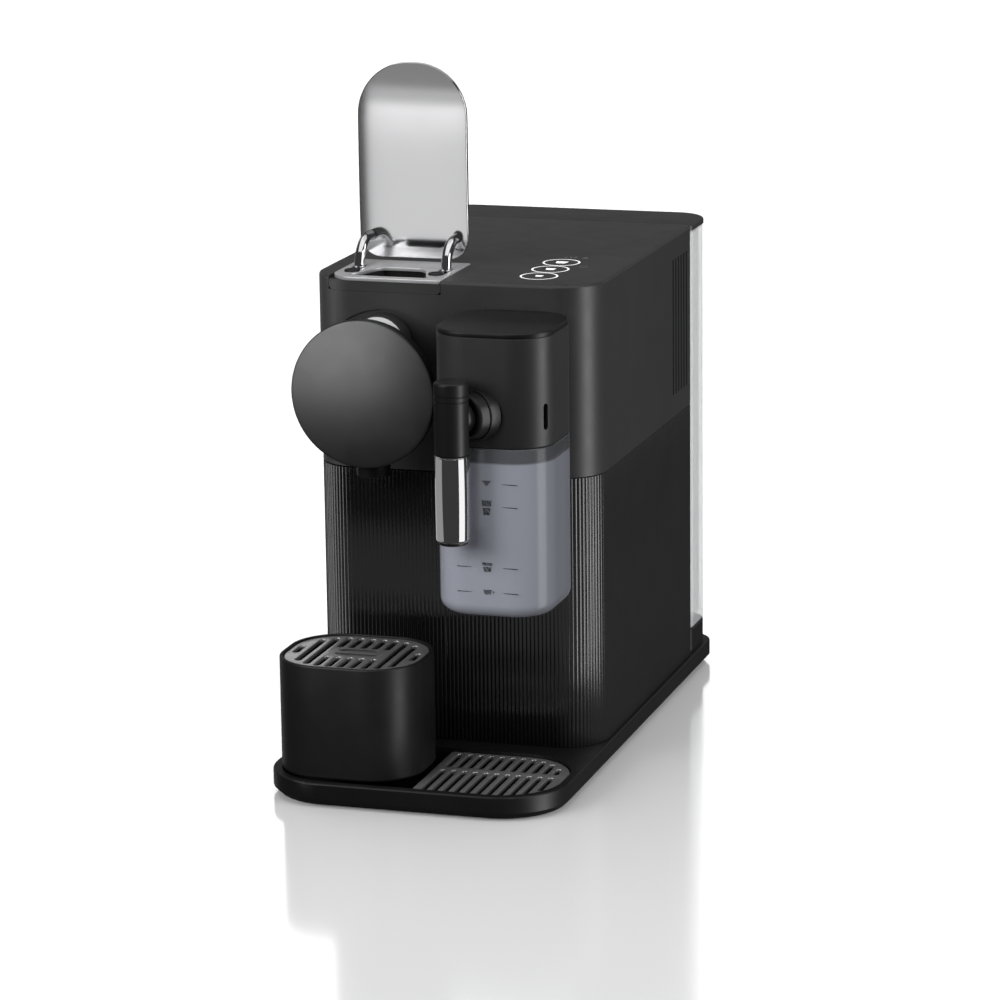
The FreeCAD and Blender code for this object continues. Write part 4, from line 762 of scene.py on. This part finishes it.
def make_jar_marks(low):
    """Printed level lines with plain glass and cup signs on the jar's front."""
    print_thick = 0.1 * MM
    upright = Matrix(((1, 0, 0, 0), (0, 0, -1, low.y + print_thick), (0, 1, 0, 0), (0, 0, 0, 1)))
    centre = low.x + 29.8 * MM
    # each vessel part: height above the level, its own height, and its width at the top and bottom
    vessels = {"line": (), "glass": ((1.6, 3.0, 5.2, 4.6), (-2.4, 3.6, 4.2, 3.2)),
               "mug": ((1.7, 1.6, 5.6, 5.2), (-0.9, 2.6, 4.6, 3.4)), "cup": ((0.2, 2.4, 4.6, 3.0),)}
    parts = []
    for level, sign in ((163.0, "line"), (151.6, "glass"), (121.0, "mug"), (108.4, "cup")):
        height = level * MM
        for start, end in ((-15.5, -8.0), (8.0, 15.5)):
            parts.append(rounded_outline(centre + start * MM, centre + end * MM, height - 0.18 * MM,
                                         height + 0.18 * MM, 0.1 * MM, 2))
        if sign == "line":
            arrow = in_mm((-2.6, 1.6), (0, -1.4), (2.6, 1.6))
            parts.append([Vector((centre + x, height + z)) for x, z in arrow])
        parts += [tumbler((centre, height + rise * MM), tall * MM, top * MM, bottom * MM)
                  for rise, tall, top, bottom in vessels[sign]]
        if sign == "cup":
            parts.append(rounded_outline(centre + 2.4 * MM, centre + 3.4 * MM, height - 0.3 * MM,
                                         height + 0.9 * MM, 0.4 * MM, 3))
    pieces = []
    for index, outline in enumerate(parts):
        area = sum(a.x * b.y - b.x * a.y for a, b in zip(outline, outline[1:] + outline[:1]))
        outline = outline if area > 0 else list(reversed(outline))
        pieces.append(flat_plate(f"mark_{index}", [outline], 0, print_thick, 0.01 * MM, upright))
    settle(join(pieces, "level_marks"), "jar", "print_dark", "jar_plastic")


def join(pieces, name, sharp=35.0):
    """Merge several mesh objects into one."""
    merged = bmesh.new()
    for piece in pieces:
        merged.from_mesh(piece.data)
    bmesh.ops.remove_doubles(merged, verts=merged.verts, dist=1e-7)
    mesh = bpy.data.meshes.new(name)
    merged.to_mesh(mesh)
    merged.free()
    for piece in pieces:
        bpy.data.objects.remove(piece)
    shade(mesh, sharp)
    return add_object(name, mesh)


def make_spout():
    low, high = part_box("spout_sleeve")
    centre = Vector(((low.x + high.x) / 2, (low.y + high.y) / 2, 0))
    at = Matrix.Translation(centre)
    radius = (high.x - low.x) / 2
    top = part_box("spout_upper")[1].z
    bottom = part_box("spout_tip")[0].z
    groove = 0.35 * MM
    collar = high.z
    profile = [(0, collar + 0.1 * MM), (radius - 0.5 * MM, collar + 0.1 * MM),
               (radius - 0.1 * MM, collar + 0.5 * MM)]
    for ring in (top - 9.3 * MM, top - 6.6 * MM):
        profile += [(radius, ring - 0.4 * MM), (radius - groove, ring - 0.15 * MM),
                    (radius - groove, ring + 0.15 * MM), (radius, ring + 0.4 * MM)]
    profile += [(radius - inset, height) for inset, height in fillet_out(1.2 * MM, top, False)]
    profile += [(0, top)]
    upper = lathe("spout_barrel", profile, 96, at)
    settle(upper, "spout", "satin_black", "matt_black", "spout_upper")

    pivot, axis = swivel()
    reach = (centre - pivot).xy.length
    profile = in_mm((0, 8.3), (7.3, 8.3), (7.4, 9.0), (6.6, 9.8), (6.1, 11.2), (6.2, 12.6))
    profile += [(6.8 * MM, reach), (0, reach)]
    neck = lathe("spout_neck", profile, 72, turned_along(pivot, axis))
    settle(neck, "spout", "satin_black", "matt_black")

    bore, edge = 7.3 * MM, 0.6 * MM
    profile = [(bore, low.z), (radius - 1.2 * MM, low.z), (radius - 0.35 * MM, low.z + 0.5 * MM),
               (radius, low.z + 1.6 * MM), (radius, collar - 1.0 * MM),
               (radius - 0.25 * MM, collar - 0.7 * MM), (radius, collar - 0.4 * MM),
               (radius - 0.2 * MM, collar - 0.02 * MM), (bore, collar - 0.02 * MM), (bore, low.z)]
    sleeve = lathe("spout_sleeve_bright", profile, 128, at, 60.0)
    settle(sleeve, "spout", "chrome", "chrome", "spout_sleeve")

    outer, inner = 7.15 * MM, 4.0 * MM
    profile = [(inner, bottom + 6 * MM), (4.6 * MM, bottom), (6.6 * MM, bottom), (outer, bottom + edge),
               (outer, collar - edge), (inner, collar - edge), (inner, bottom + 6 * MM)]
    tip = lathe("spout_nozzle", profile, 96, at)
    settle(tip, "spout", "satin_black", "satin_black", "spout_tip")


# ---------------- cup support and grilles

def slot_outline(centre, width, front, back):
    return rounded_outline(centre - width / 2, centre + width / 2, front, back, width / 2 - 0.02 * MM, 6)


def reach_in_corner(across, limit, corner, radius):
    """How far along Y an inset outline with one round corner lets a slot run at an x."""
    beyond = abs(across - corner[0])
    beyond = beyond if (across - corner[0]) * (limit[0] - corner[0]) > 0 else 0.0
    if beyond >= radius:
        return corner[1]
    rise = math.sqrt(radius ** 2 - beyond ** 2)
    return corner[1] + (rise if limit[1] > corner[1] else -rise)


CUP_RADIUS = 26.0 * MM


def make_cup_support():
    low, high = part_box("cup_support")
    rack_low, rack_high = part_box("cup_grille")
    front, back = low.y, rack_high.y + 2.3 * MM
    outline = rounded_outline(low.x, high.x, front, back, CUP_RADIUS, 28)
    rim, ledge, shell = 1.9 * MM, rack_low.z, 4.5 * MM
    profile = fillet_out(1.5 * MM, low.z, True) + fillet_out(0.8 * MM, high.z, False)
    profile += [(rim - 0.3 * MM, high.z), (rim, high.z - 0.3 * MM), (rim, ledge), (shell, ledge),
                (shell, low.z + 3 * MM)]
    block = stack("cup_stand", outline, profile)
    settle(block, "drawer", "satin_black", "satin_black", "cup_support")
    tongue_half = 24.0 * MM
    disc_low, disc_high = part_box("front_disc")
    centre = disc_low.x + (disc_high.x - disc_low.x) / 2
    tongue = rounded_outline(centre - tongue_half, centre + tongue_half, back - 1.0 * MM, high.y,
                             0.4 * MM, 3)
    tongue_top = 30 * MM
    tie = stack("cup_stand_tongue", tongue,
                fillet_out(0.4 * MM, low.z + 0.1 * MM, True) + fillet_out(0.8 * MM, tongue_top, False))
    settle(tie, "drawer", "satin_black", "satin_black")

    border_radius = CUP_RADIUS - 2.3 * MM
    border = rounded_outline(rack_low.x, rack_high.x, rack_low.y, rack_high.y, border_radius, 28)
    middle = (rack_low + rack_high) / 2
    margin, width, pitch, count = 3.3 * MM, 3.4 * MM, 6.1 * MM, 11
    inner_radius = border_radius - margin
    hole_x, hole_y, lip = 11.0 * MM, 6.5 * MM, 2.2 * MM
    holes = []
    for i in range(count):
        across = middle.x + (i - count // 2) * pitch
        edge = abs(across - middle.x) + width / 2
        reach = reach_in_corner(middle.x + edge, (rack_high.x, rack_high.y),
                                (rack_high.x - margin - inner_radius, rack_high.y - margin - inner_radius),
                                inner_radius)
        span = reach - middle.y
        if abs(across - middle.x) < hole_x + lip:
            holes.append(slot_outline(across, width, middle.y - span, middle.y - hole_y - lip))
            holes.append(slot_outline(across, width, middle.y + hole_y + lip, middle.y + span))
        else:
            holes.append(slot_outline(across, width, middle.y - span, middle.y + span))
    for side in (-1, 1):
        near, far = 1.0 * MM, hole_y
        edges = sorted((middle.y + side * near, middle.y + side * far))
        tight, round_end = (0.6 * MM, 0.6 * MM), (5.2 * MM, 5.2 * MM)
        radii = tight + round_end if side > 0 else round_end + tight
        holes.append(rounded_outline(middle.x - hole_x, middle.x + hole_x, edges[0], edges[1], radii, 8))
    rack = flat_plate("cup_rack_plate", [border] + holes, rack_low.z, rack_high.z, 0.45 * MM)
    settle(rack, "cup_rack", "rack_steel", "steel", "cup_grille")


def make_drip_rack():
    low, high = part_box("drip_grille")
    sheet = 2.2 * MM
    radius, small = 28.4 * MM, 2.0 * MM
    border = rounded_outline(low.x, high.x, low.y, high.y, (small, radius, radius, small), 28)
    margin, width, pitch, count = 3.0 * MM, 3.0 * MM, 5.6 * MM, 11
    bar_y, bar = -116.0 * MM, 2.5 * MM
    inner = radius - margin
    holes = []
    for i in range(count):
        across = low.x + 4.2 * MM + pitch * i + width / 2
        edge = across + width / 2
        centre_x = high.x - margin - inner
        front = reach_in_corner(edge, (high.x, low.y), (centre_x, low.y + margin + inner), inner)
        back = reach_in_corner(edge, (high.x, high.y), (centre_x, high.y - margin - inner), inner)
        if bar_y - bar - front > 2 * width:
            holes.append(slot_outline(across, width, front, bar_y - bar))
        if back - bar_y - bar > 2 * width:
            holes.append(slot_outline(across, width, bar_y + bar, back))
    rack = flat_plate("drip_rack_plate", [border] + holes, high.z - sheet, high.z, 0.45 * MM)
    settle(rack, "drip_rack", "rack_steel", "steel", "drip_grille")


# ---------------- tank

def make_tank():
    low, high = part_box("water_tank")
    radius, corner = 18.0 * MM, 4.0 * MM
    wall, floor = 2.2 * MM, 2.8 * MM
    outline = rounded_outline(low.x, high.x, low.y, high.y, (corner, corner, radius, radius), 20)
    profile = fillet_out(2.0 * MM, low.z, True) + [(0, high.z - 0.4 * MM), (0.4 * MM, high.z)]
    profile += [(wall - 0.4 * MM, high.z), (wall, high.z - 0.4 * MM), (wall, low.z + floor + 2 * MM),
                (wall + 0.6 * MM, low.z + floor + 0.6 * MM), (wall + 1.8 * MM, low.z + floor)]
    tank = stack("tank_shell", outline, profile)
    settle(tank, "tank", "tank_plastic", "tank_plastic", "water_tank")


# ---------------- touch buttons

def make_buttons():
    """Lit rings flush with the top, each round a plain cup sign, and small signs beside them."""
    low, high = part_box("touch_rings")
    radius = (high.x - low.x) / 2
    centre_x = (low.x + high.x) / 2
    first, last = low.y + radius, high.y - radius
    thin, top = 0.12 * MM, high.z

    def raised(name, *outlines):
        return flat_plate(name, outlines, top, top + thin, 0.02 * MM)

    rings, signs = [], []
    for index in range(3):
        along = first + (last - first) * index / 2
        at = (centre_x, along)
        ring = flat_plate(f"ring_{index}", [arc_points(at, radius, 0, 354, 59),
                                            arc_points(at, radius - 1.0 * MM, 0, 354, 59)],
                          low.z + 0.1 * MM, top, 0.05 * MM)
        rings.append(ring)
        size = (2.0 + 0.55 * index) * MM
        corners = ((-1, 0.4), (-0.72, -0.8), (0.72, -0.8), (1, 0.4))
        cup = [Vector((centre_x + x * size, along + y * size)) for x, y in corners]
        rings.append(raised(f"cup_{index}", cup))
        rim = rounded_outline(centre_x - size, centre_x + size, along + 0.62 * size, along + 0.8 * size,
                              0.05 * MM, 2)
        rings.append(raised(f"cup_rim_{index}", rim))
    settle(join(rings, "button_lights"), "machine", "ring_light", "ring_light", "touch_rings")
    drop_at = (centre_x + 8.5 * MM, last + 14.0 * MM)
    drop = arc_points(drop_at, 1.5 * MM, 150, 390, 16) + [Vector((drop_at[0], drop_at[1] + 3.2 * MM))]
    signs.append(raised("sign_drop", drop))
    bars_x, bars_y = centre_x + 1.0 * MM, last + 15.5 * MM
    for k in range(3):
        bar = rounded_outline(bars_x - 3.2 * MM + k * 2.4 * MM, bars_x - 2.0 * MM + k * 2.4 * MM,
                              bars_y - 2.0 * MM, bars_y + (k - 1) * 0.9 * MM + 1.0 * MM, 0.3 * MM, 3)
        signs.append(raised(f"sign_bar_{k}", bar))
    ring_at = (centre_x + 14.5 * MM, first + 30.0 * MM)
    signs.append(raised("sign_ring", arc_points(ring_at, 2.2 * MM, 0, 350, 35),
                        arc_points(ring_at, 1.7 * MM, 0, 350, 35)))
    settle(join(signs, "small_signs"), "machine", "icon_grey", "ring_light")


# ---------------- CAD nodes that stay

KEPT = {
    "matt_black": ("upper_housing", "capsule_fascia", "tank_lid"),
    "satin_black": ("base_tray", "tank_dock", "cord_gland", "coffee_nozzle"),
    "chrome": ("lever_shaft", "steam_connector"),
    "steel": ("extraction_plate", "base_screws"),
    "void_black": ("capsule_chute", "brew_frame", "brew_piston"),
    "inner_plastic": ("capsule_bin", "drawer_bay", "chassis", "valve_seat",
                      "pump_bracket", "flow_meter", "head_plug", "milk_mixer", "tank_valve",
                      "lever_bushes"),
    "rubber": ("rubber_feet", "pump_mounts", "piston_seal"),
    "hose": ("inlet_hose", "pressure_hose", "milk_tube"),
    "heater_block": ("thermoblock",),
    "pump_body": ("pump",),
    "board": ("control_board",),
}


def dress_cad_nodes():
    for material, names in KEPT.items():
        for name in names:
            node = frame["nodes"][name]
            dress(node, material)
            weld = node.modifiers.new("weld", "WELD")
            weld.merge_threshold = 1e-6
            smooth_by_angle(node, 32.0)


def smooth_by_angle(piece, degrees):
    """Shade a piece smooth but for its sharp edges, with a small node modifier."""
    group = bpy.data.node_groups.get("soft_shading")
    if group is None:
        group = bpy.data.node_groups.new("soft_shading", "GeometryNodeTree")
        group.interface.new_socket("Geometry", in_out="INPUT", socket_type="NodeSocketGeometry")
        group.interface.new_socket("Geometry", in_out="OUTPUT", socket_type="NodeSocketGeometry")
        start, end = group.nodes.new("NodeGroupInput"), group.nodes.new("NodeGroupOutput")
        angle = group.nodes.new("GeometryNodeInputMeshEdgeAngle")
        compare = group.nodes.new("FunctionNodeCompare")
        compare.operation = "LESS_THAN"
        compare.inputs[1].default_value = math.radians(degrees)
        faces = group.nodes.new("GeometryNodeSetShadeSmooth")
        edges = group.nodes.new("GeometryNodeSetShadeSmooth")
        faces.domain, edges.domain = "FACE", "EDGE"
        link = group.links.new
        link(angle.outputs["Unsigned Angle"], compare.inputs[0])
        link(start.outputs[0], faces.inputs["Geometry"])
        link(faces.outputs["Geometry"], edges.inputs["Geometry"])
        link(compare.outputs["Result"], edges.inputs["Shade Smooth"])
        link(edges.outputs["Geometry"], end.inputs[0])
    modifier = piece.modifiers.new("soft_shading", "NODES")
    modifier.node_group = group


# ---------------- stage, light and camera

MIDDLE = Vector((0, 0, 0.15))


def toward(azimuth, elevation):
    """A direction from the front round to the right, and up, both in degrees."""
    turn, rise = math.radians(azimuth), math.radians(elevation)
    return Vector((math.sin(turn) * math.cos(rise), -math.cos(turn) * math.cos(rise), math.sin(rise)))


def make_softbox(name, azimuth, elevation, distance, size, radiance, receivers=()):
    """A soft light that faces the object and lights only the receivers, or everything if none."""
    light = bpy.data.lights.new(name, "AREA")
    light.shape = "RECTANGLE"
    light.size, light.size_y = size
    light.energy = radiance * math.pi * size[0] * size[1]
    box = add_object(name, light)
    direction = toward(azimuth, elevation)
    box.location = MIDDLE + direction * distance
    box.rotation_euler = direction.to_track_quat("Z", "Y").to_euler()
    box.visible_camera = False
    if receivers:
        lit = bpy.data.collections.new(f"lit_by_{name}")
        for piece in receivers:
            lit.objects.link(piece)
        box.light_linking.receiver_collection = lit
    return box


SURROUND = 0.045


def make_world():
    """A dim surround that looks white where the camera sees past the floor."""
    world = bpy.data.worlds.new("studio")
    bpy.context.scene.world = world
    world.use_nodes = True
    tree = world.node_tree
    ray = tree.nodes.new("ShaderNodeLightPath")
    strength = tree.nodes.new("ShaderNodeMapRange")
    strength.inputs["To Min"].default_value = SURROUND
    strength.inputs["To Max"].default_value = 1.0
    tree.links.new(ray.outputs["Is Camera Ray"], strength.inputs["Value"])
    background = tree.nodes["Background"]
    background.inputs["Color"].default_value = (1.0, 1.0, 1.0, 1.0)
    tree.links.new(strength.outputs["Result"], background.inputs["Strength"])


def make_stage():
    size = 6.0
    floor = mesh_object("floor", [(-size, -size, 0), (size, -size, 0), (size, size, 0), (-size, size, 0)],
                        [(0, 1, 2, 3)])
    floor.data.materials.append(new_material("floor_white", (0.93, 0.93, 0.93), 0.12, IOR=2.0))
    floor.visible_diffuse = False
    floor.visible_glossy = False
    floor.visible_shadow = False
    make_world()
    for azimuth in (0, 90, 180, 270):
        make_softbox(f"floor_wall_{azimuth}", azimuth, 12, 7.5, (15, 3.6), 1.93, [floor])


def pieces_named(*starts):
    return [piece for piece in bpy.data.objects if piece.name.startswith(starts)]


def all_but(*starts):
    meshes = [piece for piece in bpy.data.objects if piece.type == "MESH"]
    return [piece for piece in meshes if not piece.name.startswith(starts)]


def make_lights():
    """Soft boxes round the object. Most light only some pieces, to give each its tone."""
    ribbed = pieces_named("lower_shell", "drawer_panel")
    jug = ("head_casing", "jug_cap", "jar_cup")
    cup, disc = pieces_named("cup_stand"), pieces_named("round_disc")
    sleeve, blade = pieces_named("spout_sleeve"), pieces_named("lever_blade")
    racks = ("drip_rack", "cup_rack")
    front_parts = ("spout_sleeve", "round_disc", "cup_stand")
    not_ribbed = all_but("lower_shell", "drawer_panel")
    # name, azimuth and elevation in degrees, distance, width and height, radiance, pieces it lights
    rows = (
        ("overhead", 0, 88, 1.7, (2.4, 2.4), 0.95),
        ("rear_sky", 180, 16, 2.4, (4.0, 0.9), 0.18),
        ("right_box", 78, 0, 1.6, (0.6, 2.4), 6.0, all_but(*front_parts, *jug)),
        ("jug_card", 92, 0, 1.6, (0.6, 2.4), 4.6, pieces_named("head_casing", "jug_cap")),
        ("jar_card", 88, 0, 1.6, (0.8, 2.4), 1.8, pieces_named("jar_cup", "round_disc")),
        ("rib_card", 78, 0, 1.6, (0.5, 2.4), 10.0, ribbed),
        ("left_rim", -82, 2, 1.8, (0.75, 2.2), 3.0, ribbed),
        ("left_card", -128, 2, 1.8, (0.5, 2.2), 0.35, not_ribbed),
        ("front_fill", -40, 24, 1.8, (1.2, 0.8), 4.0,
         all_but("lever_", "lower_shell", "drawer_panel", *front_parts)),
        ("housing_card", -62, 12, 1.8, (1.0, 1.0), 3.8, pieces_named("upper_housing", "capsule_fascia")),
        ("jar_front", -10, 24, 1.8, (1.2, 0.9), 3.9, pieces_named("jar_cup")),
        ("low_card", -17, -20, 1.8, (3.2, 2.2), 0.3, ribbed),
        ("cup_card", -25, 24, 1.8, (1.6, 1.2), 3.6, cup),
        ("head_card", -25, 24, 1.8, (1.6, 1.2), 1.3, pieces_named("head_casing")),
        ("cup_edge", 70, 0, 1.6, (0.6, 2.4), 3.6, cup),
        ("disc_edge", 95, 0, 1.6, (0.3, 1.6), 6.0, disc),
        ("sleeve_right", 78, -6, 1.6, (1.2, 2.2), 1.1, sleeve),
        ("sleeve_left", -88, -6, 1.6, (2.6, 2.2), 0.28, sleeve),
        ("lever_sky", -17, 25, 1.6, (1.0, 1.0), 0.24, blade),
        ("lever_glow", -17, 1.6, 1.6, (1.0, 0.14), 0.32, blade),
        ("disc_card", -27, 17, 1.8, (1.0, 1.8), 6.2, disc),
        ("grille_card", 197, 14, 2.4, (2.0, 0.9), 0.8, pieces_named(*racks)),
        ("plate_card", -20, 55, 1.5, (1.0, 1.0), 3.0, pieces_named("slot_plate", "bright_collar", *racks)),
    )
    for row in rows:
        make_softbox(*row)
    # cards with a common foot and rising tops: the lever's reflection fades upwards in four steps
    foot, distance, step_radiance = -0.335, 1.6, 0.185
    for top in (0.31, 0.36, 0.41, 0.46):
        rise = math.degrees(math.asin(((top + foot) / 2 - MIDDLE.z) / distance))
        make_softbox(f"lever_card_{top}", -17, rise, distance, (1.0, top - foot), step_radiance, blade)


def make_camera():
    """Long lens, seen from the right front and a little above, turned by a fraction of a degree."""
    azimuth, elevation, roll = 16.713, 13.947, math.radians(-0.604)
    distance, focal_share = 2.0524, 4.0906
    target = Vector((0.0476, -0.0730, 0.1193))
    back = toward(azimuth, elevation)
    right = Vector((0, 0, 1)).cross(back).normalized()
    up = back.cross(right)
    tilted_right = right * math.cos(roll) + up * math.sin(roll)
    tilted_up = up * math.cos(roll) - right * math.sin(roll)
    data = bpy.data.cameras.new("camera")
    data.sensor_width = 36.0
    data.lens = data.sensor_width * focal_share
    data.shift_x, data.shift_y = -0.04337, 0.0426
    data.clip_end = 50.0
    camera = add_object("camera", data)
    matrix = Matrix((tilted_right, tilted_up, back)).transposed().to_4x4()
    camera.matrix_world = Matrix.Translation(target + back * distance) @ matrix
    bpy.context.scene.camera = camera
    bpy.context.scene.view_settings.view_transform = "Standard"


make_materials()
make_lower_walls()
make_brew_head()
make_capsule_plate()
make_lever()
make_milk_head()
make_jar()
make_spout()
make_cup_support()
make_drip_rack()
make_tank()
make_buttons()
dress_cad_nodes()
make_stage()
make_lights()
make_camera()
